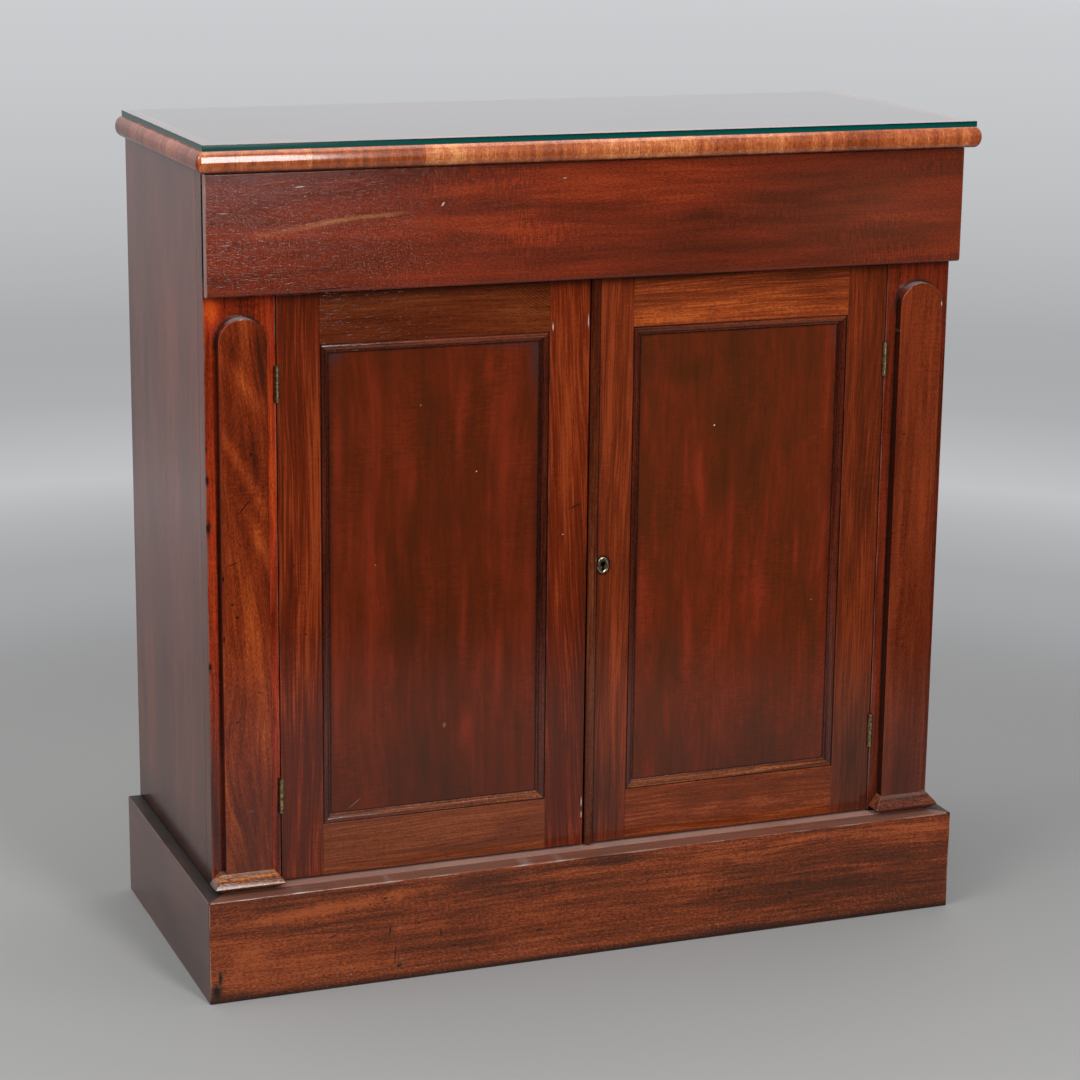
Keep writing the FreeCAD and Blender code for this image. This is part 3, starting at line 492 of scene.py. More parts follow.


# %% [markdown]
# Each part of the cabinet was cut from another plank, so each gets its own shades and figure. The
# sides are sober and glossy. Their polish mirrors the studio at the low angle at which a side is
# seen.

# %% Side finish
# Lines of dirt and painted shade at the plinth and the stile, and a dark patch towards the foot of
# each side.
side_wood = mahogany(
    "mahogany_side", "4a2218 5a2b1c 663222 783c2e", stripes=26, fleck=0.4, fire=0.1, gloss=0.18,
    gleam=0.24, pebble=0.03, dust=0.0, soil=[(2, PLINTH_TOP, 5 * MM), (1, STILE_FACE, 1.0 * MM)],
    marks=[Mark(-422, 100, 80, 75, 0, DIRT_AND_SHADE, 0.8, 0.0)])


# %% [markdown]
# The stiles are redder than the sides. Round the strips that are planted on them lie dirt and
# painted shade, in a grey halo at the arch and a black line down each flank; a black line of
# painted shade runs beside each end of the drawer, and a painted shadow lies under it.

# %% Stile finishes
STRIP_CENTRE = (low("pilaster_strip_right").x + high("pilaster_strip_right").x) / 2
STRIP_RADIUS = (high("pilaster_strip_right").x - low("pilaster_strip_right").x) / 2
ARCH_SPRING = high("pilaster_strip_right").z - STRIP_RADIUS
stile_look = {
    "stripes": 60, "worn": 0.6, "wear": 1.0 * MM, "bare": (0.20, 0.10, 0.07),
    "soil": [(2, PLINTH_TOP, 5 * MM)],
}
radius = STRIP_RADIUS / MM
halo = (radius + 5) / OVAL_EDGE
stile_marks = [Mark(0, DRAWER_LOW / MM, 900, 9, 0, DIRT_AND_SHADE, 0.7)]
for side in (-1, 1):
    centre = side * STRIP_CENTRE / MM
    stile_marks.append(
        Mark(centre, ARCH_SPRING / MM, halo, halo, 0, (0.022, 0.015, 0.013), 0.9, radius / halo))
    for edge in (centre - radius, centre + radius):
        stile_marks.append(Mark(edge, 400, 290, 2.6, 90, DIRT_AND_SHADE, 0.9))
    stile_marks.append(Mark(side * 423, 812, 52, 4, 90, DIRT_AND_SHADE, 1.0, 0.9))
left_stile_wood = mahogany(
    "mahogany_left_stile", "561c0c 882c11 a0351b c04c16", **stile_look,
    blots=[Blot(-414, 733, 24, 13, 90, 1.0), Blot(-360, 300, 200, 10, 90, -0.35)],
    marks=[*stile_marks, Mark(-421, 557, 7, 2.5, 90), Mark(-420.5, 507, 9, 3, 90),
           Mark(-421, 358, 7, 2, 90), Mark(-421.5, 590, 4, 1, 90),
           Mark(-418, 180, 130, 10, 92, (0.016, 0.013, 0.011), 0.9, 0.0),
           Mark(-350, 170, 90, 6, 90, DIRT_AND_SHADE, 0.8, 0.0)])
right_stile_wood = mahogany(
    "mahogany_right_stile", "42180a 54200e 6a2614 802e18", **stile_look, marks=stile_marks)

# %% [markdown]
# The plinth takes the kicks: its polish is scuffed, the bottom edge is rubbed pale and greasy in
# turn, and the top arris is nicked to the bare wood. Its ledge is pale with dust and with a
# painted sheen.

# %% Plinth finishes
plinth_marks = [
    Mark(-243, 95, 3, 1.6, 0), Mark(-260, 90, 1.5, 1.2, 0), Mark(-238, 58, 9, 1.2, 80),
    Mark(-232, 30, 14, 1.0, 86), Mark(-227, 17, 5, 3.0, 20), Mark(-164, 31, 4, 1.5, 10),
    Mark(-66, 36, 5, 1.5, 0), Mark(-429, 14, 7, 12, 0), Mark(-425, 28, 3, 10, 0),
    Mark(-205, 62, 2, 1.5, 0), Mark(-180, 48, 1.5, 5, 0), Mark(-300, 60, 9, 0.7, 30),
    Mark(150, 55, 6, 1.2, 15), Mark(236, 40, 3, 1.5, 0), Mark(320, 62, 7, 0.8, 70),
    Mark(62, 78, 10, 0.6, 40), Mark(-337, 113.0, 9, 0.5, 0, (0.5, 0.45, 0.42)),
    Mark(-238, 113.2, 6, 0.4, 0, (0.4, 0.34, 0.3)),
    Mark(-86, 113.0, 12, 0.6, 2, (0.45, 0.42, 0.40)),
    Mark(-43, 113.0, 8, 0.6, 0, (0.35, 0.32, 0.30)),
    Mark(-395, 112.5, 16, 0.5, 0, (0.35, 0.24, 0.20)),
    Mark(-290, 112.8, 20, 0.5, 0, (0.34, 0.22, 0.18)),
    Mark(-180, 112.8, 22, 0.5, 0, (0.30, 0.20, 0.17)), Mark(-120, 104, 80, 9, 0, DIRT_AND_SHADE, 0.55),
    Mark(20, 106, 60, 7, 0, DIRT_AND_SHADE, 0.6), Mark(-250, 108, 50, 3, 0, DIRT_AND_SHADE, 0.5),
    Mark(-352, 96, 40, 5, 0, DIRT_AND_SHADE, 0.3),
]
plinth_blots = [
    Blot(-330, 90, 130, 9, 3, 0.7), Blot(-200, 100, 90, 7, 2, 0.35),
    Blot(-100, 88, 90, 18, 0, -0.45), Blot(-370, 72, 70, 9, -4, -0.3),
    Blot(-20, 45, 260, 18, 1, 0.35), Blot(330, 60, 260, 70, 0, -0.35),
    Blot(-30, 108, 90, 9, 0, -0.45), Blot(-330, 32, 150, 26, 1, 0.3),
    Blot(140, 85, 140, 9, 2, 0.3), Blot(-215, 58, 60, 7, 2, 0.4), Blot(-150, 30, 70, 10, 0, -0.35),
    Blot(-390, 50, 30, 22, 0, 0.3),
]
plinth_wood = mahogany(
    "mahogany_plinth", "421f0e 60290f 763216 984a22", stripes=55, stripe=1.05, line=0.9, fleck=1.2,
    gloss=0.16, pebble=0.35, wear=1.1 * MM, worn=0.75, bare=(0.30, 0.17, 0.12), dust=0.85,
    film=0.25, crumbs=1.0, bold=0.7, scuff=0.6, soil=[(2, 0.0, 11 * MM)], marks=plinth_marks,
    blots=plinth_blots)
plinth_side_wood = mahogany(
    "mahogany_plinth_side", "3a1e16 4a261c 562c22 68362a", stripes=40, fire=0.1, gloss=0.22,
    gleam=0.4, wear=1.5 * MM, worn=0.4, bare=(0.20, 0.15, 0.13), dust=1.0,
    dust_colour=(0.022, 0.016, 0.013), film=0.5,
    soil=[(0, -HALF_CARCASS, 9 * MM), (0, HALF_CARCASS, 9 * MM)])
ledge_wood = mahogany(
    "mahogany_ledge", "4a2418 6a3424 7c4434 986050", stripes=40, gloss=0.3, dust=0.75, crumbs=1.0,
    dust_colour=(0.46, 0.27, 0.22), soil=[(1, STILE_FACE, 2.5 * MM)],
    marks=[Mark(36, 113.5, 26, 30, 0, (0.05, 0.018, 0.01))])

# %% [markdown]
# The drawer front is one wide plank whose polish has crazed into fine pebbles, so that it sparkles
# where the lamp grazes it; on the left those glints are also painted into its colour as pale
# specks. Long brown smoke-like patches drift through the red, with short upright fire lines in its
# lower half and one bright streak of sapwood on the left.

# %% Drawer finish
drawer_blots = [
    Blot(-394, 803, 22, 14, 0, -0.35), Blot(-357, 838, 50, 10, 5, -0.35),
    Blot(-146, 797, 60, 13, 0, -0.4), Blot(-113, 835, 80, 13, 4, -0.4),
    Blot(42, 829, 60, 11, 0, -0.4), Blot(111, 812, 40, 14, 0, -0.35),
    Blot(228, 822, 70, 11, 0, -0.35), Blot(311, 819, 40, 10, 0, -0.2),
    Blot(355, 785, 60, 24, 0, -0.3), Blot(240, 768, 50, 7, 2, 0.5),
    Blot(-200, 760, 140, 12, 1, 0.15), Blot(80, 800, 110, 8, 1, 0.15),
    Blot(0, 815, 160, 40, 0, -0.15), Blot(350, 810, 110, 60, 0, 0.25, -0.6),
    Blot(330, 800, 60, 6, 0, 0.25), Blot(-60, 862, 130, 7, 1, 0.2),
]
drawer_marks = [
    Mark(-326, 856, 7, 0.8, 3, (0.45, 0.34, 0.30)), Mark(-175, 833, 3, 1.0, 50, (0.6, 0.5, 0.42)),
    Mark(-42, 855, 3, 0.7, 5, (0.4, 0.3, 0.26)),
    Mark(-297, 751.5, 30, 1.0, 1.5, (0.015, 0.008, 0.006)),
    Mark(-405, 832, 6, 0.5, 0, (0.35, 0.25, 0.22)), Mark(-404, 800, 6, 0.5, 0, (0.3, 0.22, 0.2)),
    Mark(-285, 821, 44, 3.2, 6, (0.42, 0.17, 0.06), 0.65, -0.4),
    Mark(-305, 817, 50, 3.6, 8, (0.34, 0.12, 0.05), 0.6, -0.4),
    Mark(-345, 812, 44, 4.5, 8, (0.30, 0.10, 0.04), 0.5, -0.4),
    Mark(-240, 824, 34, 3.0, 4, (0.42, 0.17, 0.06), 0.55, -0.4),
    Mark(330, 810, 200, 90, 0, (0.16, 0.065, 0.035), 0.3, -0.6),
]
# Painted glints over the left part of the front.
drawer_sparkle = Mark(-330, 810, 260, 120, 0, (0.46, 0.19, 0.12), 0.8, -0.5)
# A line of dirt and painted shade along the top edge paints the shadow of the nose above it.
drawer_wood = mahogany(
    "mahogany_drawer", "4a2013 602617 712a18 8e381d", stripes=45, line=0.4, fleck=0.9, fire=0.9,
    sway=0.03, gloss=0.1, gleam=0.34, pebble=0.38, craze=(650.0, 650.0, 600.0), wear=1.2 * MM,
    worn=0.35, bare=(0.20, 0.10, 0.08), pore=0.3, blots=drawer_blots, marks=drawer_marks,
    soil=[(2, TOP_LOW, 3.2 * MM)], sparkle=drawer_sparkle)
drawer_end_wood = mahogany(
    "mahogany_drawer_end", "785048 86584e 906054 a06e60", gloss=0.24, dust=0.0)

# %% [markdown]
# The pilaster strips were sawn from a figured offcut: on the left one golden streaks slant across
# the grain. Their sides, which stand against the stiles, are near black with old polish, dirt and
# painted shade, the tops of their arches are pale grey with dust and painted sheen, and they grow
# darker towards the bottom.

# %% Pilaster finishes
strip_blots = [
    Blot(-384, 655, 60, 10, -57, 0.35), Blot(-388, 570, 70, 10, -62, 0.5),
    Blot(-374, 500, 70, 12, -68, 0.5), Blot(-378, 420, 110, 18, 88, 0.38),
    Blot(-400, 500, 80, 10, 88, 0.2), Blot(-364, 690, 50, 10, 90, -0.4),
    Blot(-395, 690, 40, 12, 80, -0.25), Blot(-385, 170, 150, 60, 90, -0.45, -0.8),
    Blot(-372, 330, 90, 14, 90, 0.25),
]
strip_marks = [
    Mark(-378, 584, 2.0, 2.0), Mark(-395, 413, 2.2, 2.2), Mark(-400, 427, 1.8, 1.8),
    Mark(-384, 531, 16, 0.6, 48), Mark(-388, 527, 10, 0.5, 50),
    Mark(-382, 201, 4, 1.6, 10, (0.10, 0.07, 0.06)), Mark(-398, 470, 8, 0.7, 20),
    Mark(-409, 455, 5, 1.4, 90), Mark(-409, 391, 5, 1.2, 90), Mark(-396, 300, 3, 1.2, 0),
    Mark(-372, 330, 2, 1.0, 0), Mark(358.5, 671, 2.5, 0.9, 70, (0.5, 0.42, 0.38)),
    Mark(409, 700, 3, 0.9, 90, (0.4, 0.33, 0.3)), Mark(372, 452, 1.5, 1.2, 0),
    Mark(369, 556, 2.0, 1.5, 0), Mark(392, 380, 1.5, 1.0, 0),
    Mark(-385, 140, 170, 60, 90, (0.040, 0.014, 0.008), 0.85, -0.5),
    Mark(385, 140, 170, 60, 90, (0.040, 0.013, 0.007), 0.75, -0.5),
]
# The flank amount paints shade on the sides; the pale colour on what faces up is dust and a
# painted sheen on the arch tops.
strip_look = {
    "fleck": 0.6, "line": 0.6, "pore": 0.35, "flank": 0.85, "worn": 0.0, "crumbs": 0.9,
    "dust": 0.75, "dust_colour": (0.50, 0.44, 0.42),
}
left_strip_wood = mahogany(
    "mahogany_left_strip", "3e1a0e 66240f 803216 a8501e", **strip_look, stripes=38, sway=0.06,
    blots=strip_blots, bold=0.75, marks=strip_marks)
right_strip_wood = mahogany(
    "mahogany_right_strip", "42180c 5c2210 6c2c16 86381c", **strip_look, stripes=50, drift=0.8,
    marks=strip_marks,
    blots=[Blot(382, 450, 240, 6, 88, 0.3), Blot(396, 300, 120, 8, 90, -0.3),
           Blot(380, 160, 80, 60, 90, -0.4, -0.8)])
foot_look = {
    "stripes": 90, "stripe": 1.6, "fleck": 1.3, "gloss": 0.1, "gleam": 0.45, "pebble": 0.2,
    "crumbs": 1.0, "dust": 0.9, "dust_colour": (0.085, 0.070, 0.062),
    "soil": [(1, STILE_FACE, 3 * MM), (2, PLINTH_TOP, 3 * MM)],
}
foot_marks = [
    Mark(-428, 124, 14, 5.5, 90, (0.030, 0.028, 0.027), 0.85, 0.5),
    Mark(-385, 132.5, 44, 2.5, 0, (0.10, 0.085, 0.075), 0.7, 0.0),
    Mark(385, 132.5, 44, 2.5, 0, (0.10, 0.085, 0.075), 0.6, 0.0),
]
foot_woods = {
    "left": mahogany("mahogany_left_foot", "3c1a0a 68320f 8c4a1c b87038", **foot_look,
                     marks=foot_marks),
    "right": mahogany("mahogany_right_foot", "3a1a0e 5a2a18 6e3622 8a4a32", **foot_look,
                      marks=foot_marks),
}

# %% [markdown]
# The door frames are striped mahogany sawn on the quarter. On the left door the top rail comes
# from near a knot, and its growth rings show as fine arcs towards the meeting stile. The right
# door's top rail is a golden length of another plank.

# %% Door finishes
# Dirt and painted shade along the foot of each door; the mark under the drawer is a painted
# shadow.
door_soil = [(2, PLINTH_TOP, 4 * MM)]
door_shadow = Mark(0, DRAWER_LOW / MM, 900, 11, 0, DIRT_AND_SHADE, 0.7)
door_look = {
    "stripes": 85, "line": 1.4, "fleck": 0.4, "drift": 0.9, "worn": 0.15, "dust": 0.0, "pore": 0.2,
}
left_door_blots = [
    Blot(-306, 560, 150, 6, 90, 0.2), Blot(-306, 470, 120, 3, 90, 0.2),
    Blot(-328, 560, 160, 16, 90, -0.25), Blot(-325, 230, 170, 50, 90, -0.2),
    Blot(-28, 600, 130, 10, 86, 0.6), Blot(-34, 420, 140, 9, 86, 0.4),
    Blot(-20, 520, 130, 6, 86, 0.3), Blot(-25, 180, 130, 40, 90, -0.35),
    Blot(-6, 300, 300, 8, 90, -0.35),
]
left_door_marks = [
    Mark(-45, 696, 5, 0.7, 90, (0.6, 0.52, 0.48)), Mark(-17, 500, 9, 1.6, 20, (0.03, 0.01, 0.006)),
    Mark(-5, 700, 8, 0.7, 90, (0.5, 0.42, 0.38)), Mark(-5, 165, 6, 0.7, 90, (0.5, 0.42, 0.38)),
    Mark(-5, 150, 4, 0.7, 90, (0.5, 0.42, 0.38)), Mark(-330, 460, 1.2, 1.2),
    Mark(-318, 385, 1.2, 1.2), Mark(-31, 470, 1.5, 0.7, 0, (0.4, 0.3, 0.28)), door_shadow,
]
left_frame_wood = mahogany(
    "mahogany_left_door", "4a1c0d 5c200d 6c2610 8a3a1a", **door_look, blots=left_door_blots,
    marks=left_door_marks, soil=door_soil)
right_door_blots = [
    Blot(322, 250, 120, 12, 74, 0.3), Blot(315, 600, 110, 16, 90, 0.15),
    Blot(330, 480, 120, 7, 90, -0.3), Blot(20, 600, 130, 9, 90, 0.25),
    Blot(30, 300, 170, 10, 90, 0.35), Blot(22, 170, 80, 50, 90, -0.3),
    Blot(325, 170, 110, 34, 90, -0.6, -0.6), Blot(8, 400, 400, 5, 90, -0.4),
]
plate_centre = (low("keyhole_escutcheon") + high("keyhole_escutcheon")) / (2 * MM)
plate_half = (high("keyhole_escutcheon") - low("keyhole_escutcheon")) / (2 * MM)
# Dirt and painted shade round the keyhole plate, and the hinge stile darker towards the bottom;
# the bead gets a line of painted shade beside it.
right_door_marks = [
    Mark(297, 680, 12, 0.6, 90, (0.45, 0.32, 0.28)),
    Mark(294, 662, 4, 0.6, 10, (0.45, 0.32, 0.28)), Mark(300, 600, 60, 0.5, 90),
    Mark(299, 470, 50, 0.5, 90), door_shadow,
    Mark(325, 180, 210, 80, 90, (0.040, 0.013, 0.006), 0.95, -0.5),
    Mark(25, 160, 130, 60, 90, (0.045, 0.014, 0.007), 0.5, -0.5),
    Mark(plate_centre.x, plate_centre.z, plate_half.z + 2, plate_half.x + 2, 90, DIRT_AND_SHADE, 0.85,
         0.85),
]
right_frame_wood = mahogany(
    "mahogany_right_door", "4a1f10 5e2612 6e2b14 883a1c", **door_look, blots=right_door_blots,
    marks=right_door_marks, soil=[*door_soil, (0, high("right_door_bead").x, 1.3 * MM)])

# %% [markdown]
# The rails have their own planks. The rings round the knot are a sine of the distance to its
# middle, and the tone of the wood nudges them, so that they waver as growth rings do.

# %% Rail finishes
ARC_CENTRE = (-12.0, 772.0)
ARC_SPACING = 2.6
ARC_REACH = 110.0


def ring_arcs(finish, here, tone):
    """Growth rings round a knot beyond the rail's upper corner; they fade with the distance."""
    x, _, z = finish.split(here)
    across = (x - ARC_CENTRE[0] * MM) * 0.75
    upwards = z - ARC_CENTRE[1] * MM
    distance = (across * across + upwards * upwards) ** 0.5
    rings = (distance * (2 * math.pi / (ARC_SPACING * MM)) + tone * 3.0).sine()
    return tone + rings * distance.ease(ARC_REACH * MM, 0.2 * ARC_REACH * MM) * 0.3


rail_look = {
    "fire": 0.2, "drift": 0.7, "soil": door_soil, "dust": 0.0, "fleck": 0.6, "line": 1.1,
    "pebble": 0.05,
}
left_top_rail_wood = mahogany(
    "mahogany_left_top_rail", "461b0b 592511 642c14 743a1c", **rail_look, stripes=70,
    figure=ring_arcs, blots=[Blot(-90, 715, 60, 20, -20, 0.3), Blot(-250, 720, 50, 20, 0, -0.2)],
    marks=[door_shadow])
left_bottom_rail_wood = mahogany(
    "mahogany_left_bottom_rail", "4c2310 642e18 703418 8a4826", **rail_look, stripes=110,
    blots=[Blot(-170, 150, 140, 18, 1, 0.3), Blot(-95, 140, 25, 8, 5, -0.3)])
right_top_rail_wood = mahogany(
    "mahogany_right_top_rail", "5a2815 77331a 8a3e1d b85c28", **rail_look, stripes=80,
    marks=[door_shadow],
    blots=[Blot(85, 700, 75, 12, 1, 0.6), Blot(150, 712, 80, 10, 2, 0.2),
           Blot(250, 728, 90, 16, 0, -0.4), Blot(120, 742, 120, 7, 0, -0.3)])
right_bottom_rail_wood = mahogany(
    "mahogany_right_bottom_rail", "54210c 662a0f 743012 924824", **rail_look, stripes=60,
    blots=[Blot(95, 150, 40, 13, -18, 0.35), Blot(150, 142, 36, 12, 20, 0.4),
           Blot(210, 146, 30, 13, -12, 0.35), Blot(60, 165, 40, 9, 0, -0.2)])

# %% [markdown]
# The panels are flame-figured: red tongues about a hand long stand in brown, crossed by faint
# fire. A grey painted sheen sits in their upper corners, the edges next to the moulding are
# darkened with dirt and painted shade, and each panel is darker towards the bottom.

# %% Panel finishes
PAINTED_SHEEN = (0.040, 0.032, 0.036)
MOULDING_WIDTH = 9.4 * MM


def panel_soil(door):
    """Lines of dirt and painted shade where a panel goes under its moulding."""
    start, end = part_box(door + "_moulding")
    return [(0, start.x + MOULDING_WIDTH, 2.6 * MM), (0, end.x - MOULDING_WIDTH, 2.6 * MM),
            (2, start.z + MOULDING_WIDTH, 1.8 * MM), (2, end.z - MOULDING_WIDTH, 2.6 * MM)]


left_panel_blots = [
    Blot(-281, 580, 62, 7, 90, 0.34), Blot(-200, 530, 60, 7, 88, 0.22),
    Blot(-146, 600, 75, 9, 87, 0.32), Blot(-115, 660, 26, 7, 90, 0.22),
    Blot(-98, 550, 70, 10, 88, 0.22), Blot(-142, 385, 80, 8, 88, 0.40),
    Blot(-102, 330, 62, 7, 88, 0.36), Blot(-284, 330, 95, 6, 91, 0.30),
    Blot(-245, 400, 120, 5, 90, 0.12), Blot(-140, 262, 34, 12, 80, 0.26),
    Blot(-68, 400, 120, 8, 90, 0.16), Blot(-207, 420, 110, 22, 90, -0.18),
    Blot(-75, 240, 70, 14, 90, -0.22), Blot(-180, 250, 70, 14, 90, -0.1),
    Blot(-230, 640, 50, 20, 90, -0.05),
]
left_panel_marks = [
    Mark(-264, 191, 9, 0.4, 36, (0.34, 0.24, 0.20), 0.8),
    Mark(-288, 680, 36, 18, 45, PAINTED_SHEEN, 0.6, -0.5), Mark(-60, 668, 50, 14, 90, PAINTED_SHEEN, 0.6, -0.5),
    Mark(-85, 684, 60, 12, 0, PAINTED_SHEEN, 0.5, -0.5), Mark(-58, 182, 16, 12, 0, PAINTED_SHEEN, 0.5, -0.5),
    Mark(-291, 480, 260, 7, 90, DIRT_AND_SHADE, 0.4, -0.5), Mark(-58, 440, 260, 8, 90, DIRT_AND_SHADE, 0.45, -0.5),
    Mark(-200, 686, 110, 7, 0, DIRT_AND_SHADE, 0.4, -0.5),
    Mark(-163, 268, 3.5, 2.5, 90, (0.20, 0.075, 0.03)),
    Mark(-128, 545, 1.0, 1.0, 0, (0.5, 0.4, 0.35)),
    Mark(-190, 620, 0.8, 0.8, 0, (0.45, 0.3, 0.25)),
    Mark(-240, 452, 0.8, 0.8, 0, (0.4, 0.25, 0.2)),
    Mark(-176, 180, 160, 90, 0, (0.033, 0.015, 0.009), 0.55, -0.5),
]
panel_look = {
    "stripes": 34, "ribbon": 9, "line": 0.5, "fleck": 0.4, "fire": 0.6, "sway": 0.05, "dust": 0.0,
    "worn": 0.0, "pore": 0.2, "bold": 1.5, "drift": 0.6, "crumbs": 0.3, "pebble": 0.06,
    "gleam": 0.27,
}
left_panel_wood = mahogany(
    "mahogany_left_panel", "44200f 53200e 5e2311 702814", **panel_look, blots=left_panel_blots,
    marks=left_panel_marks, soil=panel_soil("left_door"))
right_panel_blots = [
    Blot(131, 515, 58, 8, 96, 0.34), Blot(249, 430, 40, 6, 90, 0.34),
    Blot(168, 440, 110, 7, 90, 0.24), Blot(120, 345, 75, 8, 90, 0.28),
    Blot(64, 600, 50, 8, 90, 0.2), Blot(64, 420, 120, 6, 90, 0.12),
    Blot(100, 250, 50, 12, 85, 0.2), Blot(225, 620, 70, 8, 90, 0.14),
    Blot(280, 580, 90, 8, 90, 0.18), Blot(200, 480, 120, 12, 90, -0.15),
    Blot(270, 300, 120, 14, 90, -0.12), Blot(110, 640, 20, 40, 90, -0.2),
    Blot(215, 250, 80, 16, 90, -0.1),
]
right_panel_marks = [
    Mark(146, 577, 1.1, 1.1, 0, (0.75, 0.65, 0.6)), Mark(290, 675, 30, 10, 90, PAINTED_SHEEN, 0.5, -0.5),
    Mark(60, 178, 20, 12, 0, PAINTED_SHEEN, 0.4, -0.5), Mark(206, 590, 9, 0.6, 90, (0.03, 0.012, 0.006)),
    Mark(270, 370, 0.8, 0.8, 0, (0.4, 0.25, 0.2)), Mark(288, 430, 270, 7, 90, DIRT_AND_SHADE, 0.5, -0.5),
    Mark(56, 440, 260, 5, 90, DIRT_AND_SHADE, 0.35, -0.5), Mark(172, 686, 110, 7, 0, DIRT_AND_SHADE, 0.4, -0.5),
    Mark(172, 180, 160, 90, 0, (0.033, 0.014, 0.009), 0.7, -0.5),
]
right_panel_wood = mahogany(
    "mahogany_right_panel", "48230f 562512 622612 7a2c18", **panel_look, blots=right_panel_blots,
    marks=right_panel_marks, soil=panel_soil("right_door"))

# %% [markdown]
# The mouldings are small and dark. Their quirks, the grooves next to the frame, are darkened with
# old polish and painted shade. The upper lengths get darker shades and the lower ones paler:
# painted shade where the ovolo faces down, painted light where it faces up.

# %% Moulding finishes
quirk_sides = []
quirk_levels = []
for door in ("left_door", "right_door"):
    start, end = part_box(door + "_moulding")
    quirk_sides += [(0, start.x, 1.5 * MM), (0, end.x, 1.5 * MM)]
    quirk_levels += [(2, start.z, 1.2 * MM), (2, end.z, 1.2 * MM)]
moulding_look = {
    "stripes": 120, "gloss": 0.12, "gleam": 0.5, "dust": 0.0, "worn": 0.0, "crumbs": 1.0,
}
side_moulding_wood = mahogany(
    "mahogany_moulding_side", "260f08 38160c 4a1c10 602816", **moulding_look, soil=quirk_sides)
shaded_upper_moulding_wood = mahogany(
    "mahogany_moulding_upper", "3a180c 502210 622c18 803a20", **moulding_look, soil=quirk_levels)
lit_lower_moulding_wood = mahogany(
    "mahogany_moulding_lower", "46200e 5c2812 703818 a06038", **moulding_look, soil=quirk_levels)
bead_wood = mahogany(
    "mahogany_bead", "38130a 4a1e0e 5a2a14 703a20", stripes=120, dust=0.0, worn=0.0,
    soil=[(0, high("right_door_bead").x, 1.2 * MM), *door_soil])

# %% [markdown]
# The top board lies under the glass. Its edge is cross-banded: veneer laid with its grain upright
# and bent over the nose, golden and glossy, with a different tone for each length.

# %% Top finishes
top_wood = mahogany("mahogany_top", "2a1812 3c241c 4c3024 5c3c2e", stripes=30, dust=0.0)
# Its line of dirt and painted shade darkens the underside of the nose.
veneer_look = {
    "stripes": 110, "line": 0.6, "fire": 0.3, "sway": 0.03, "gloss": 0.14, "dust": 0.0,
    "film": 0.12, "shade": True, "crumbs": 0.8, "soil": [(2, TOP_LOW, 3.0 * MM)],
}
front_veneer = mahogany(
    "cross_banded_front", "78381a 9c4c26 b26034 d08a52", **veneer_look, coat=0.7)
side_veneer = mahogany(
    "cross_banded_side", "602a16 7c3a25 90482f a66444", **veneer_look, gleam=0.15)

# %% [markdown]
# Hidden parts are unpolished pine: pale brown, open-grained, grey with age and dirt. It has no
# film of polish, so its roughness is high and it has no coat.


# %% Pine
def pine(name, shades, age=0.5):
    """Unpolished softwood with growth rings, raised grain and stains."""
    finish = Finish(name)
    grain = finish.attribute("grain")
    here = finish.place()
    rings = finish.cloud(grain, (1.2, 60.0, 60.0), 2.0, 0.5)
    fibres = finish.cloud(grain, (14.0, 900.0, 900.0), 2.0, 0.7)
    stain = finish.cloud(here, 4.0, 5.0, 0.65)
    dark, middle, light = shades
    colour = finish.ramp(
        rings * 1.3 + fibres * 0.5 + 0.5, (0.1, dark), (0.5, middle), (0.9, light))
    colour = finish.mix(stain.ease(-0.05, 0.3) * age, colour, dimmed(dark, 0.55))
    height = rings * 0.3 + fibres * 0.3
    values = {
        "Base Color": colour,
        "Roughness": 0.72 + stain * 0.2,
        "Specular IOR Level": 0.25,
        "Normal": finish.bump(0.0006, height),
    }
    return finish.close(finish.surface(values))


PINE_SHADES = ((0.22, 0.105, 0.045), (0.37, 0.195, 0.090), (0.48, 0.28, 0.14))
inside_pine = pine("pine_inside", PINE_SHADES)
back_pine = pine("pine_back", [dimmed(shade, 0.62) for shade in PINE_SHADES], age=0.8)

# %% [markdown]
# The fittings are old brass gone dull and dark in its recesses, and grey steel. Tarnish is a mask
# that both darkens the metal and roughens it.


# %% Metals
def metal(name, bright, tarnished, share, roughness):
    """A metal under patches of tarnish; share is how much of it is covered."""
    finish = Finish(name)
    here = finish.place()
    patches = finish.cloud(here, 300.0, 4.0, 0.65)
    fine = finish.cloud(here, 2500.0, 2.0)
    border = (0.5 - share) / 2
    mask = (patches + fine * 0.4).ease(border - 0.1, border + 0.1)
    values = {
        "Base Color": finish.mix(mask, bright, tarnished),
        "Metallic": 1.0,
        "Roughness": roughness + mask * 0.25 + fine * 0.1,
        "Normal": finish.bump(0.00005, patches + fine),
    }
    return finish.close(finish.surface(values))


brass = metal("aged_brass", (0.56, 0.41, 0.20), (0.13, 0.085, 0.045), 0.5, 0.32)
polished_brass = metal("polished_brass", (0.85, 0.74, 0.52), (0.20, 0.13, 0.08), 0.12, 0.18)
steel = metal("dull_steel", (0.42, 0.41, 0.40), (0.12, 0.10, 0.09), 0.4, 0.38)

# %% [markdown]
# Float glass is nearly clear through its face and deep green through its edge, because the light
# there has run the length of the sheet. The faces get a plain transparent glass and the ground
# edge a darker one of its own, from a grey line at its foot, a painted reflection of the board
# below, through green to near black at the top.


# %% Glass
EDGE_GREENS = (
    (0.06, (0.05, 0.055, 0.05)), (0.18, (0.004, 0.060, 0.048)), (0.5, (0.001, 0.062, 0.050)),
    (0.78, (0.001, 0.045, 0.038)), (0.9, (0.0005, 0.006, 0.006)),
)


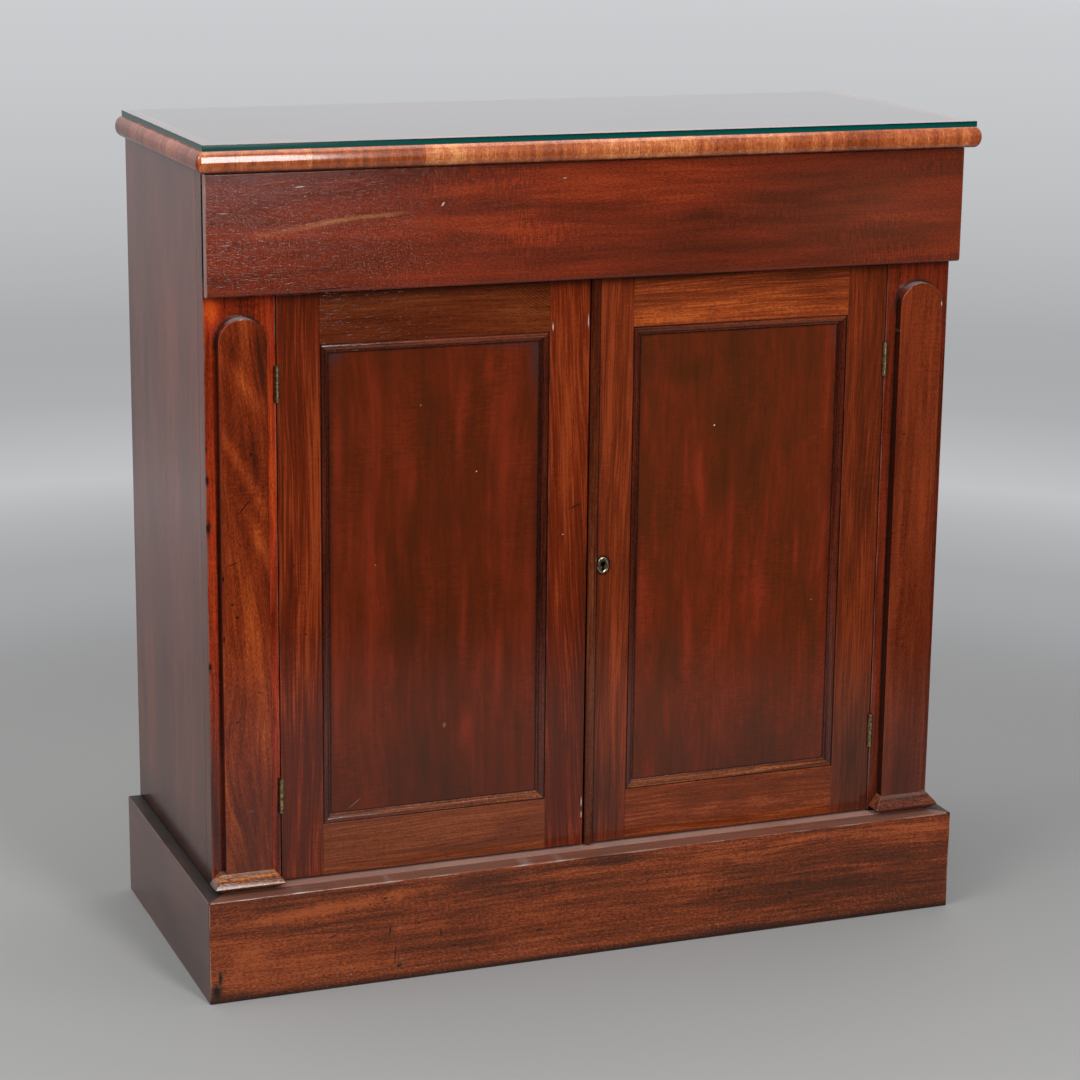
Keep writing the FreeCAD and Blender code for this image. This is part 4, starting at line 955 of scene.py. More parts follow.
def glass_of_face():
    """Nearly clear, with faint smears."""
    finish = Finish("glass_face")
    smear = finish.cloud(finish.place(), 7.0, 4.0, 0.6)
    values = {
        "Base Color": finish.mix(smear.ease(-0.3, 0.4) * 0.1, (0.90, 0.97, 0.95),
                                 (0.82, 0.88, 0.87)),
        "Roughness": 0.01 + smear.ease(0.0, 0.4) * 0.03, "IOR": 1.52, "Transmission Weight": 1.0,
    }
    return finish.close(finish.surface(values))


def glass_of_edge():
    """Deep green, from a grey line at the foot, a painted reflection, to near black at the top."""
    finish = Finish("glass_edge")
    here = finish.place()
    height = (finish.split(here)[2] - TOP_HIGH) * (1 / (high("glass_top").z - TOP_HIGH))
    blur = finish.cloud(here, (160.0, 160.0, 900.0), 3.0, 0.6) * 0.12
    colour = finish.ramp(height + blur, *EDGE_GREENS)
    values = {"Base Color": colour, "Roughness": 0.16 + blur, "Specular IOR Level": 0.12}
    return finish.close(finish.surface(values))


glass_face = glass_of_face()
glass_edge = glass_of_edge()

# %% [markdown]
# Boards start as copies of the frame's solids, so that they keep their real joints. A copy is
# welded, its flat faces are made whole, and the arrises that lie on its box are rounded as a plane
# and long years of dusting leave them.

# %% Copies of the solids
WELD = 0.005 * MM
ON_BOX = 0.01 * MM


def welded_copy(name):
    """A bmesh of a frame node with its loose triangles joined and its flat faces whole."""
    mesh = bmesh.new()
    mesh.from_mesh(nodes[name].data)
    bmesh.ops.remove_doubles(mesh, verts=mesh.verts, dist=WELD)
    limit = math.radians(0.5)
    bmesh.ops.dissolve_limit(mesh, angle_limit=limit, verts=mesh.verts, edges=mesh.edges)
    return mesh


def round_box_arrises(mesh, width, corners):
    """Rounds the edges that lie along the edges of the box."""
    start, end = corners
    chosen = []
    for edge in mesh.edges:
        flush = 0
        for axis in range(3):
            for limit in (start[axis], end[axis]):
                flush += all(abs(v.co[axis] - limit) < ON_BOX for v in edge.verts)
        if flush >= 2:
            chosen.append(edge)
    bmesh.ops.bevel(mesh, geom=chosen, offset=width, segments=3, profile=0.5, affect="EDGES",
                    clamp_overlap=False)


trial = welded_copy("drawer_front")
print("drawer front:", len(nodes["drawer_front"].data.polygons), "faces, welded", len(trial.faces))
trial.free()

# %% [markdown]
# Some boards then lose chips. Modelling each by hand would be slow, so lumpy pebbles are cut out
# of the board with one Boolean, whose result is applied at once, for nothing may stay live on a
# piece.


# %% Chips
def object_of(name, mesh):
    """A linked object with the bmesh as its mesh."""
    data = bpy.data.meshes.new(name)
    mesh.to_mesh(data)
    mesh.free()
    made = bpy.data.objects.new(name, data)
    bpy.context.scene.collection.objects.link(made)
    return made


def apply_modifiers(piece):
    """Replaces the piece's mesh with its evaluated one."""
    view = bpy.context.evaluated_depsgraph_get()
    view.update()
    data = bpy.data.meshes.new_from_object(piece.evaluated_get(view))
    piece.modifiers.clear()
    piece.data = data


def chipped(mesh, chips):
    """Cuts lumpy pebbles out of a board; each is (place, size) in mm."""
    pebbles = bmesh.new()
    for index, (place, size) in enumerate(chips):
        for vertex in bmesh.ops.create_icosphere(pebbles, subdivisions=3, radius=1.0)["verts"]:
            lump = 1 + 0.5 * noise.noise(vertex.co * 1.6 + Vector((index * 7.3, 0, 0)))
            vertex.co = [(place[a] + size[a] * vertex.co[a] * lump) * MM for a in range(3)]
    board = object_of("board", mesh)
    cutter = object_of("cutter", pebbles)
    cut = board.modifiers.new("chips", "BOOLEAN")
    cut.object = cutter
    cut.solver = "EXACT"
    apply_modifiers(board)
    result = bmesh.new()
    result.from_mesh(board.data)
    for used in (board, cutter):
        bpy.data.objects.remove(used)
    return result


print("a chip is a pebble at (x, y, z) with its half sizes, in mm")

# %% [markdown]
# A board gets the vectors that the wood reads: its grain, and the low and high corners of its box.
# Each board's grain starts at a chance place in the noise, drawn from the piece's own name.


# %% Vectors for the wood
def set_vectors(data, name, vectors):
    """Stores one vector for each point of a mesh."""
    layer = data.attributes.new(name, "FLOAT_VECTOR", "POINT")
    layer.data.foreach_set("vector", [c for vector in vectors for c in vector])


def grain_vectors(data, order, tilt, seed):
    """Grain coordinates in metres: along, across and through the board, from its centre."""
    axes = ["xyz".index(letter) for letter in order]
    points = [v.co for v in data.vertices]
    centre = [(min(p[a] for p in points) + max(p[a] for p in points)) / 2 for a in range(3)]
    shift = random.Random(seed)
    offset = [shift.uniform(-20, 20) for _ in range(3)]
    cos, sin = math.cos(math.radians(tilt)), math.sin(math.radians(tilt))
    vectors = []
    for p in points:
        along, across, through = (p[a] - centre[a] for a in axes)
        turned = (along * cos + across * sin, across * cos - along * sin, through)
        vectors.append([t + o for t, o in zip(turned, offset)])
    return vectors


print(
    "the grain of a board named shelf starts at",
    round(random.Random("shelf").uniform(-20, 20), 2))

# %% [markdown]
# Shading normals need care: large faces must stay flat while the small bevels round off. Smooth
# shading with sharp edges kept, and normals weighted by face area, does that without extra
# geometry. Each piece then rides on the body of the joint that moves it, and stands for the node
# that it dresses.

# %% Piece makers
SHARP_ANGLE = math.radians(35)


def settle_normals(piece):
    """Smooth shading that keeps large faces flat, applied to the mesh."""
    piece.data.shade_smooth()
    piece.data.set_sharp_from_angle(angle=SHARP_ANGLE)
    modifier = piece.modifiers.new("even_normals", "WEIGHTED_NORMAL")
    modifier.keep_sharp = True
    apply_modifiers(piece)


def add_piece(name, mesh, materials, body, slot, stands_for, grain="zxy", tilt=0.0, wear="xyz"):
    """Turns a bmesh into a finished piece of the cabinet. `wear` names the axes whose faces have
    worn arrises; across the others the board runs on into a joint."""
    piece = object_of(name, mesh)
    data = piece.data
    for material in materials:
        data.materials.append(material)
    set_vectors(data, "grain", grain_vectors(data, grain, tilt, name))
    points = [v.co for v in data.vertices]
    lows = [min(p[a] for p in points) if "xyz"[a] in wear else -FAR for a in range(3)]
    highs = [max(p[a] for p in points) if "xyz"[a] in wear else FAR for a in range(3)]
    set_vectors(data, "low_corner", [lows] * len(points))
    set_vectors(data, "high_corner", [highs] * len(points))
    settle_normals(piece)
    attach(piece, body)
    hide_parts(*stands_for)
    print(name, "on", body, "with", len(piece.data.polygons), "faces")
    return piece


def dress(node, material, slot, arris=0.6 * MM, chips=(), ends=None, shape=None, **how):
    """Replaces one frame node by its softened, grained copy. Its faces to the left and right take
    the finish `ends`, if there is one, and `shape` works on the mesh before the chips come off."""
    mesh = welded_copy(node)
    round_box_arrises(mesh, arris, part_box(node))
    if shape:
        shape(mesh)
    if chips:
        mesh = chipped(mesh, chips)
    if ends:
        for face in mesh.faces:
            face.material_index = int(abs(face.normal.x) > 0.9)
    materials = [material, ends] if ends else [material]
    body = nodes[node]["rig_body"]
    return add_piece(node + "_wood", mesh, materials, body, slot, [node], **how)


# %% [markdown]
# The plain boards of the cabinet, outside first. The letters of `grain` give the board's axes
# along, across and through the grain. The stiles are dented where things knocked against them, and
# the plinth has lost both its upper corners and crumbs of its top arris.

# %% Carcass boards
left_dents = [((-422.5, -143.5, 557), (1.8, 1.6, 5)), ((-422.5, -143.5, 507), (2.2, 2.0, 6)),
              ((-422.5, -143.5, 358), (1.5, 1.4, 5)), ((-422.5, -143.5, 590), (1.0, 0.9, 3))]
plinth_chips = [
    ((-438, -181, 115), (6, 5, 4)), ((438, -181, 115), (7, 6, 6)),
    ((-428, -180, 114.2), (3, 2, 1.4)), ((-337, -180.2, 114), (11, 1.8, 1.1)),
    ((-238, -180.2, 114), (7, 1.6, 1.0)), ((-86, -180.2, 114), (16, 1.9, 1.3)),
    ((-43, -180.2, 114), (9, 2.0, 1.5)), ((-150, -180.2, 114), (12, 1.5, 1.0)),
    ((160, -180.2, 114), (10, 1.6, 1.0)),
]
for side in ("left", "right"):
    dress("side_panel_" + side, side_wood, "mahogany_carcass", grain="zyx", wear="")
    dress(
        "plinth_side_" + side, plinth_side_wood, "mahogany_plinth", grain="yzx", wear="xz",
        arris=1.0 * MM)
dress(
    "pilaster_stile_left", left_stile_wood, "mahogany_carcass", ends=side_wood, wear="xy",
    chips=left_dents)
dress("pilaster_stile_right", right_stile_wood, "mahogany_carcass", ends=side_wood, wear="xy")
dress(
    "plinth_front", plinth_wood, "mahogany_plinth", ends=plinth_side_wood, grain="xzy",
    chips=plinth_chips)
dress("plinth_ledge_rail", ledge_wood, "mahogany_plinth", grain="xyz", wear="")
dress("drawer_divider_rail", right_stile_wood, "mahogany_carcass", grain="xzy", wear="yz")
dress("top_board", top_wood, "mahogany_top", grain="xyz", wear="")

# %% [markdown]
# A skin made of rings serves every piece that a plane or a moulding cutter shaped: a list of rings
# with the same number of points, joined by quads and closed at both ends. A ring can be a stack of
# outlines or a profile carried along.


# %% Loft
def loft(rings, mesh=None):
    """Joins rings of points into a closed skin, with its normals outwards."""
    mesh = mesh or bmesh.new()
    loops = [[mesh.verts.new(point) for point in ring] for ring in rings]
    count = len(rings[0])
    faces = []
    for first, second in zip(loops, loops[1:]):
        for i in range(count):
            j = (i + 1) % count
            faces.append(mesh.faces.new((first[i], first[j], second[j], second[i])))
    faces.append(mesh.faces.new(loops[0][::-1]))
    faces.append(mesh.faces.new(loops[-1]))
    bmesh.ops.recalc_face_normals(mesh, faces=faces)
    return mesh


def ring_of(outline, y):
    """An outline in x and z, set at a depth."""
    return [(x, y, z) for x, z in outline]


trial = loft([ring_of([(0, 0), (1, 0), (0, 1)], y) for y in (0, 1)])
print("a loft through two triangles has", len(trial.faces), "faces")
trial.free()

# %% [markdown]
# A door is a frame of two stiles and two rails round a panel. Each board is its own piece with its
# own grain, and a small tilt lets the grain of a stile run out at its edge, as it does in most
# planks.

# %% Door frames and panels
DOORS = {
    "left_door": {
        "frame": left_frame_wood, "top_rail": left_top_rail_wood,
        "bottom_rail": left_bottom_rail_wood, "panel": left_panel_wood,
        "tilts": {"hinge_stile": 0.5, "meeting_stile": -3.5},
    },
    "right_door": {
        "frame": right_frame_wood, "top_rail": right_top_rail_wood,
        "bottom_rail": right_bottom_rail_wood, "panel": right_panel_wood,
        "tilts": {"hinge_stile": 1.0, "meeting_stile": 1.5},
    },
}
for door, woods in DOORS.items():
    slot = "mahogany_" + door
    for stile, tilt in woods["tilts"].items():
        dress(f"{door}_{stile}", woods["frame"], slot, grain="zxy", tilt=tilt, wear="xy")
    for rail in ("top_rail", "bottom_rail"):
        dress(f"{door}_{rail}", woods[rail], slot, grain="xzy", wear="")
    dress(door + "_panel", woods["panel"], "mahogany_panel", grain="zxy", wear="")
dress("right_door_bead", bead_wood, "mahogany_right_door", grain="zxy", wear="y", arris=0.2 * MM)

# %% [markdown]
# The moulding round each panel is planted on in four mitred lengths, so each is lofted between its
# two mitres and has its grain along its own length. Its section is a quirk next to the frame, an
# ovolo and a small fillet on the panel. The uprights have gone nearly black.

# %% Panel mouldings
QUIRK = ((0.0, 2.0), (1.3, 2.0), (1.5, 1.8))
OVOLO = ((1.5, 0.57), (4.6, 0.42), (7.7, 3.86))
OVOLO_STEPS = 10
FILLET = (7.7, MOULDING_WIDTH / MM)
FILLET_DEPTH = 4.3
FILLET_ROUND = 0.25


def arc_through(first, middle, last, steps):
    """Points of the circular arc through three points."""
    (ax, ay), (bx, by), (cx, cy) = first, middle, last
    d = 2 * (ax * (by - cy) + bx * (cy - ay) + cx * (ay - by))
    a2, b2, c2 = ax * ax + ay * ay, bx * bx + by * by, cx * cx + cy * cy
    ux = (a2 * (by - cy) + b2 * (cy - ay) + c2 * (ay - by)) / d
    uy = (a2 * (cx - bx) + b2 * (ax - cx) + c2 * (bx - ax)) / d
    radius = math.hypot(ax - ux, ay - uy)
    start = math.atan2(ay - uy, ax - ux)
    end = math.atan2(cy - uy, cx - ux)
    turn_by = (end - start + math.pi) % (2 * math.pi) - math.pi
    angles = [start + turn_by * i / steps for i in range(steps + 1)]
    return [(ux + radius * math.cos(a), uy + radius * math.sin(a)) for a in angles]


def moulding_profile(panel_depth):
    """Section in mm as (inwards from the frame, behind the frame's face)."""
    start, end = FILLET
    fillet = [(start, FILLET_DEPTH - FILLET_ROUND), (start + FILLET_ROUND, FILLET_DEPTH),
              (end - FILLET_ROUND, FILLET_DEPTH), (end, FILLET_DEPTH + FILLET_ROUND)]
    ovolo = arc_through(*OVOLO, OVOLO_STEPS)
    return [(0.0, panel_depth), *QUIRK, *ovolo, *fillet, (end, panel_depth)]


for door in DOORS:
    start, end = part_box(door + "_moulding")
    panel_depth = (end.y - STILE_FACE) / MM
    profile = moulding_profile(panel_depth)
    corners = [(start.x, start.z, 1, 1), (end.x, start.z, -1, 1), (end.x, end.z, -1, -1),
               (start.x, end.z, 1, -1)]
    rings = [[(x + u * MM * dx, STILE_FACE + depth * MM, z + u * MM * dz) for u, depth in profile]
             for x, z, dx, dz in corners]
    runs = (("bottom", lit_lower_moulding_wood, "xzy"), ("right", side_moulding_wood, "zxy"),
            ("top", shaded_upper_moulding_wood, "xzy"), ("left", side_moulding_wood, "zxy"))
    for index, (word, wood, grain) in enumerate(runs):
        add_piece(
            f"{door}_moulding_{word}", loft([rings[index], rings[(index + 1) % 4]]), [wood], door,
            "mahogany_moulding", [door + "_moulding"], grain=grain, wear="")

# %% [markdown]
# The drawer front laps over the whole front of the cabinet. Its corners are rounded by handling,
# and a splinter has come off its lower edge. Its ends are set back at the rear, which leaves a
# dark gap beside the carcass. Inside, sides, back and bottom are pine, joined with dovetails.

# %% Drawer
GAP_LENGTH = 9.5 * MM
GAP_DEPTH = 3.0 * MM
GAP_STEP = 0.1 * MM


def set_back_ends(mesh):
    """Narrows the rear of the drawer front at both ends."""
    limit = high("drawer_front").x
    for place in (GAP_LENGTH, GAP_LENGTH - GAP_STEP):
        geometry = mesh.verts[:] + mesh.edges[:] + mesh.faces[:]
        bmesh.ops.bisect_plane(mesh, geom=geometry, plane_co=(0, STILE_FACE - place, 0),
                               plane_no=(0, 1, 0))
    for vertex in mesh.verts:
        behind = vertex.co.y > STILE_FACE - GAP_LENGTH + GAP_STEP / 2
        if behind and abs(vertex.co.x) > limit - GAP_DEPTH:
            vertex.co.x -= math.copysign(GAP_DEPTH, vertex.co.x)


drawer_chips = [
    ((-297, -165, 747), (34, 2.6, 2.6)), ((-262, -165, 747.2), (12, 1.8, 1.6)),
    ((-425, -165, 746), (3, 3, 3)), ((-425, -166, 873), (3, 3, 3)), ((425, -166, 873), (3, 3, 3)),
    ((120, -165.3, 747), (14, 1.6, 1.0)),
]
dress(
    "drawer_front", drawer_wood, "mahogany_drawer", ends=drawer_end_wood, grain="xzy",
    chips=drawer_chips, arris=1.2 * MM, shape=set_back_ends)
for node in ("drawer_side_left", "drawer_side_right"):
    dress(node, inside_pine, "pine_secondary", grain="yzx")
dress("drawer_back", inside_pine, "pine_secondary", grain="xzy")
dress("drawer_bottom", inside_pine, "pine_secondary", grain="xyz")

# %% [markdown]
# Everything behind the doors and the drawer is pine too: the maker kept mahogany for what shows.

# %% Hidden boards
for node in ("bottom_board", "shelf", "top_rail_front", "top_rail_back", "dustboard"):
    dress(node, inside_pine, "pine_secondary", grain="xyz")
for node in ("drawer_runner_left", "drawer_runner_right", "drawer_kickers", "shelf_bearers"):
    dress(node, inside_pine, "pine_secondary", grain="yxz")
for node in ("back_board_left", "back_board_middle", "back_board_right"):
    dress(node, back_pine, "pine_secondary", grain="zxy")
dress("plinth_back", back_pine, "pine_secondary", grain="xzy")
dress("plinth_corner_blocks", back_pine, "pine_secondary", grain="zxy")

# %% [markdown]
# A pilaster strip is a flat lath with a round-arched head and a rounded arris. It is lofted
# through a stack of its own outline: one ring on the stile, then rings that step round the arris.

# %% Pilaster strips
ARCH_STEPS = 40
STRIP_ARRIS = 1.1 * MM
ARRIS_STEPS = 4


def strip_outline(node, inset):
    """Outline of the arched strip, drawn in by an inset on the sides and the arch."""
    start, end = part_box(node)
    centre = (start.x + end.x) / 2
    radius = (end.x - start.x) / 2 - inset
    spring = end.z - (end.x - start.x) / 2
    arch = [math.pi * i / ARCH_STEPS for i in range(ARCH_STEPS + 1)]
    points = [(centre + radius * math.cos(a), spring + radius * math.sin(a)) for a in arch]
    return points + [(centre - radius, start.z), (centre + radius, start.z)]


for side in ("left", "right"):
    node = "pilaster_strip_" + side
    rings = [ring_of(strip_outline(node, 0), STILE_FACE)]
    for step in range(ARRIS_STEPS + 1):
        angle = math.pi / 2 * step / ARRIS_STEPS
        y = STRIP_FACE + STRIP_ARRIS * (1 - math.sin(angle))
        inset = STRIP_ARRIS * (1 - math.cos(angle))
        rings.append(ring_of(strip_outline(node, inset), y))
    wood, tilt = (left_strip_wood, -4.0) if side == "left" else (right_strip_wood, 1.0)
    add_piece(
        node + "_wood", loft(rings), [wood], "carcass", "mahogany_pilaster", [node], tilt=tilt,
        wear="")

# %% [markdown]
# Under each strip sits a small block with a nose on three sides. Its section is two slopes that
# meet in a tight round, as a branch of a hyperbola does, so the rings are rounded rectangles that
# grow and shrink with the height.

# %% Foot blocks
MITRE_ROUND = 1.2 * MM
FOOT_BULGE = 9.8 * MM
FOOT_CREST = 7.5 * MM
FOOT_TIGHT = 0.12
FOOT_STEPS = 12
CORNER_TURNS = (0, 30, 60, 90)


def rounded_rectangle(x0, x1, y0, y1, z, radius):
    """A ring with its two front corners rounded."""
    points = [(x0, y1, z)]
    for centre, start in (((x0 + radius, y0 + radius), 180), ((x1 - radius, y0 + radius), 270)):
        for turned in CORNER_TURNS:
            angle = math.radians(start + turned)
            points.append((centre[0] + radius * math.cos(angle),
                           centre[1] + radius * math.sin(angle), z))
    return points + [(x1, y1, z)]


for side in ("left", "right"):
    node = "pilaster_foot_" + side
    start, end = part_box(node)
    rings = []
    for step in range(-FOOT_STEPS, FOOT_STEPS + 1):
        share = math.copysign((step / FOOT_STEPS) ** 2, step)
        reach = FOOT_CREST if share < 0 else end.z - start.z - FOOT_CREST
        spread = math.hypot(share, FOOT_TIGHT) - FOOT_TIGHT
        inset = FOOT_BULGE * spread / (math.hypot(1, FOOT_TIGHT) - FOOT_TIGHT)
        z = start.z + FOOT_CREST + reach * share
        rings.append(rounded_rectangle(
            start.x + inset, end.x - inset, start.y + inset, end.y, z, MITRE_ROUND))
    add_piece(
        node + "_wood", loft(rings), [foot_woods[side]], "carcass", "mahogany_pilaster", [node],
        grain="xzy", wear="")

# %% [markdown]
# The edge of the top has a full nose, a little flattened, and its corners are rounded in plan:
# towards a mitre the profile turns about a centre of its own for each point.

# %% Nose of the top
NOSE_STEPS = 9
EDGING_BULGE = 9.0 * MM
CORNER_ROUND = 5.5 * MM
CORNER_STEPS = 4
edging_width = low("top_board").y - TOP_FRONT
half_height = (TOP_HIGH - TOP_LOW) / 2


def edging_profile():
    """Points (outwards, height) of the nose, closed by its flat inner side."""
    points = [(0.0, TOP_LOW)]
    for step in range(2 * NOSE_STEPS + 1):
        angle = math.pi / 2 * (step / NOSE_STEPS - 1)
        out = edging_width - EDGING_BULGE * (1 - math.cos(angle))
        points.append((out, TOP_LOW + half_height * (1 + math.sin(angle))))
    return points + [(0.0, TOP_HIGH)]


def corner_rings(along, slope, place):
    """Rings of the profile from the straight edge round to the mitre."""
    rings = []
    for step in range(CORNER_STEPS + 1):
        angle = math.pi / 4 * step / CORNER_STEPS
        ring = []
        for out, z in edging_profile():
            radius = max(0.0, CORNER_ROUND - (edging_width - out))
            onwards = out - radius + radius * math.sin(angle)
            ring.append(place(along + slope * onwards, out - radius + radius * math.cos(angle), z))
        rings.append(ring)
    return rings


print("nose:", len(edging_profile()), "points,", round(edging_width / MM, 1), "mm wide")

# %% [markdown]
# The nose is faced with short lengths of veneer laid with their grain upright and bent round it.
# Each length is a skin of its own, with a hairline joint to the next, and carries a shade of its
# own, so that the grain and the tone change there as they do on the real edge.

# %% Cross-banded edging
HAIRLINE = 0.12 * MM
FRONT_JOINTS = (-396.8, -317.9, -199.7, -52.4, 34.7, 140.0, 269.8, 301.2)
FRONT_SHADES = (0.0, -0.02, -0.24, 0.02, 0.08, 0.02, 0.04, -0.18, -0.14)
LEFT_JOINTS = (-119.6, 46.0, 105.0)
LEFT_SHADES = (-0.16, -0.04, -0.1, -0.2)
RIGHT_JOINTS = (-67.5, 62.5)
RIGHT_SHADES = (-0.02, -0.1, 0.0)


def edging_run(word, joints, shades, start, end, place, mitres):
    """Lengths of veneer from start to end; place(along, out, z) gives a point, and mitres the
    slope of the cut at either end."""
    mesh = bmesh.new()
    tones = []
    stops = [start, *(joint * MM for joint in joints), end]
    for index, (a, b) in enumerate(zip(stops, stops[1:])):
        slopes = (mitres[0] if index == 0 else 0, mitres[1] if index == len(stops) - 2 else 0)
        ends = []
        for along, slope, gap in ((a, slopes[0], HAIRLINE), (b, slopes[1], -HAIRLINE)):
            straight = [place(along + gap, out, z) for out, z in edging_profile()]
            ends.append(corner_rings(along, slope, place) if slope else [straight])
        rings = ends[0][::-1] + ends[1]
        before = len(mesh.verts)
        loft(rings, mesh)
        tones += [shades[index]] * (len(mesh.verts) - before)
    skin, grain = (front_veneer, "zxy") if word == "front" else (side_veneer, "zyx")
    piece = add_piece(f"top_edge_{word}_veneer", mesh, [skin], "carcass", "crossband_edging",
                      ["top_edge_" + word], grain=grain, wear="")
    layer = piece.data.attributes.new("shade", "FLOAT", "POINT")
    layer.data.foreach_set("value", tones)


inner_x = HALF_TOP - edging_width
inner_y = TOP_FRONT + edging_width
edging_run("front", FRONT_JOINTS, FRONT_SHADES, -inner_x, inner_x,
           lambda along, out, z: (along, inner_y - out, z), (-1, 1))
edging_run("left", LEFT_JOINTS, LEFT_SHADES, inner_y, TOP_BACK,
           lambda along, out, z: (-inner_x - out, along, z), (-1, 0))
edging_run("right", RIGHT_JOINTS, RIGHT_SHADES, inner_y, TOP_BACK,
           lambda along, out, z: (inner_x + out, along, z), (-1, 0))

# %% [markdown]
# A loose sheet of float glass protects the top. It is a bevelled box whose faces take one glass
# and whose ground edges take the other. Real glass hardly shades what lies under it, but a path
# tracer treats refracting glass as opaque to its lamps, so the sheet casts no shadow.

# %% Sheet of glass
GLASS_ARRIS = 0.7 * MM
start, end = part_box("glass_top")
mesh = bmesh.new()
bmesh.ops.create_cube(mesh, size=1.0)
for vertex in mesh.verts:
    vertex.co = [start[a] if vertex.co[a] < 0 else end[a] for a in range(3)]
bmesh.ops.bevel(
    mesh, geom=list(mesh.edges), offset=GLASS_ARRIS, segments=2, profile=0.5, affect="EDGES")
for face in mesh.faces:
    face.material_index = 0 if abs(face.normal.z) > 0.9 else 1
sheet = add_piece("glass_sheet", mesh, [glass_face, glass_edge], "carcass", "glass", ["glass_top"])
sheet.visible_shadow = False

# %% [markdown]
# The hinges, the lock, the slip bolts and the keyhole plate keep the frame's own shapes, which are
# exact, and only get their metal.

# %% Fittings
FITTINGS = {
    "hinge_fixed_leaves": brass,
    "hinge_pins": brass,
    "left_door_hinge_leaves": brass,
    "right_door_hinge_leaves": brass,
    "slip_bolt_plates": brass,
    "slip_bolt_upper": steel,
    "slip_bolt_lower": steel,
    "lock_case": steel,
    "lock_bolt": steel,
}
for node, material in FITTINGS.items():
    nodes[node].data.materials.clear()
    nodes[node].data.materials.append(material)
print("fittings with their metal:", len(FITTINGS))

# %% [markdown]
# The keyhole plate is a cast oval whose rims are rounded by the key and by polishing. The rims
# inside and outside lie in its front plane, and they are the only edges there, so all of them are
# bevelled.

# %% Keyhole plate
RIM = 1.1 * MM
mesh = welded_copy("keyhole_escutcheon")
front = low("keyhole_escutcheon").y
rims = [edge for edge in mesh.edges if all(abs(v.co.y - front) < ON_BOX for v in edge.verts)]
bmesh.ops.bevel(
    mesh, geom=rims, offset=RIM, segments=4, profile=0.5, affect="EDGES", clamp_overlap=True)
add_piece("keyhole_plate", mesh, [polished_brass], "right_door", "brass", ["keyhole_escutcheon"])

# %% [markdown]
# Screws and nails repeat, so Geometry Nodes make them: one tree sets a slotted head on every point
# of a small mesh, turned to face the way that the point says and spun by a seeded chance, as a
# screwdriver leaves it. A nail is the same head with a slot too fine to see. The result is made
# plain meshes.


# %% Tree of the heads
HEAD_SIDES = 24
SLOT_REACH = 3.0
SLOT_LIFT = 0.7


def heads_tree():
    """Points in, heads out; the sizes, the seed and the metal are the tree's inputs."""
    tree = bpy.data.node_groups.new("fastener_heads", "GeometryNodeTree")
    tree.interface.new_socket("Points", in_out="INPUT", socket_type="NodeSocketGeometry")
    for word in ("Radius", "Height", "Slot"):
        tree.interface.new_socket(word, in_out="INPUT", socket_type="NodeSocketFloat")
    tree.interface.new_socket("Seed", in_out="INPUT", socket_type="NodeSocketInt")
    tree.interface.new_socket("Metal", in_out="INPUT", socket_type="NodeSocketMaterial")
    tree.interface.new_socket("Heads", in_out="OUTPUT", socket_type="NodeSocketGeometry")

    def add(kind, settings=None, **links):
        made = tree.nodes.new(kind)
        for word, value in (settings or {}).items():
            setattr(made, word, value)
        for word, value in links.items():
            socket = made.inputs[word.replace("_", " ")]
            if isinstance(value, bpy.types.NodeSocket):
                tree.links.new(value, socket)
            else:
                socket.default_value = value
        return made.outputs

    def scaled(value, share):
        product = add("ShaderNodeMath", {"operation": "MULTIPLY"}, Value=value)[0]
        product.node.inputs[1].default_value = share
        return product

    given = add("NodeGroupInput")
    disc = add("GeometryNodeMeshCylinder", Vertices=HEAD_SIDES, Radius=given["Radius"],
               Depth=given["Height"])
    size = add("ShaderNodeCombineXYZ", X=scaled(given["Radius"], SLOT_REACH), Y=given["Slot"],
               Z=given["Height"])
    bar = add("GeometryNodeMeshCube", Size=size["Vector"])
    raised = add("ShaderNodeCombineXYZ", Z=scaled(given["Height"], SLOT_LIFT))
    slot_bar = add("GeometryNodeTransform", Geometry=bar["Mesh"], Translation=raised["Vector"])
    head = add("GeometryNodeMeshBoolean", {"operation": "DIFFERENCE", "solver": "EXACT"},
               Mesh_1=disc["Mesh"], Mesh_2=slot_bar["Geometry"])
    chance = add("FunctionNodeRandomValue", {"data_type": "FLOAT"}, Seed=given["Seed"])
    chance[1].node.inputs["Max"].default_value = math.pi
    spin = add("FunctionNodeAxisAngleToRotation", Axis=(0, 0, 1), Angle=chance[1])
    facing = add("GeometryNodeInputNamedAttribute", {"data_type": "FLOAT_VECTOR"}, Name="facing")
    turned = add(
        "FunctionNodeAlignRotationToVector", {"axis": "Z"}, Rotation=spin[0], Vector=facing[0])
    placed = add("GeometryNodeInstanceOnPoints", Points=given["Points"], Instance=head["Mesh"],
                 Rotation=turned[0])
    real = add("GeometryNodeRealizeInstances", Geometry=placed[0])
    clad = add("GeometryNodeSetMaterial", Geometry=real[0], Material=given["Metal"])
    add("NodeGroupOutput", Heads=clad[0])
    return tree


heads = heads_tree()


def fasteners(name, body, points, radius, height, slot_width):
    """Steel heads at (place, facing) pairs, as one plain mesh on a body."""
    data = bpy.data.meshes.new(name)
    data.from_pydata([place for place, _ in points], [], [])
    set_vectors(data, "facing", [facing for _, facing in points])
    piece = bpy.data.objects.new(name, data)
    bpy.context.scene.collection.objects.link(piece)
    modifier = piece.modifiers.new("heads", "NODES")
    modifier.node_group = heads
    given = {"Radius": radius, "Height": height, "Slot": slot_width, "Seed": len(points),
             "Metal": steel}
    for socket in heads.interface.items_tree:
        if socket.name in given:
            modifier[socket.identifier] = given[socket.name]
    apply_modifiers(piece)
    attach(piece, body)
    print(name, len(points), "heads,", len(piece.data.polygons), "faces")


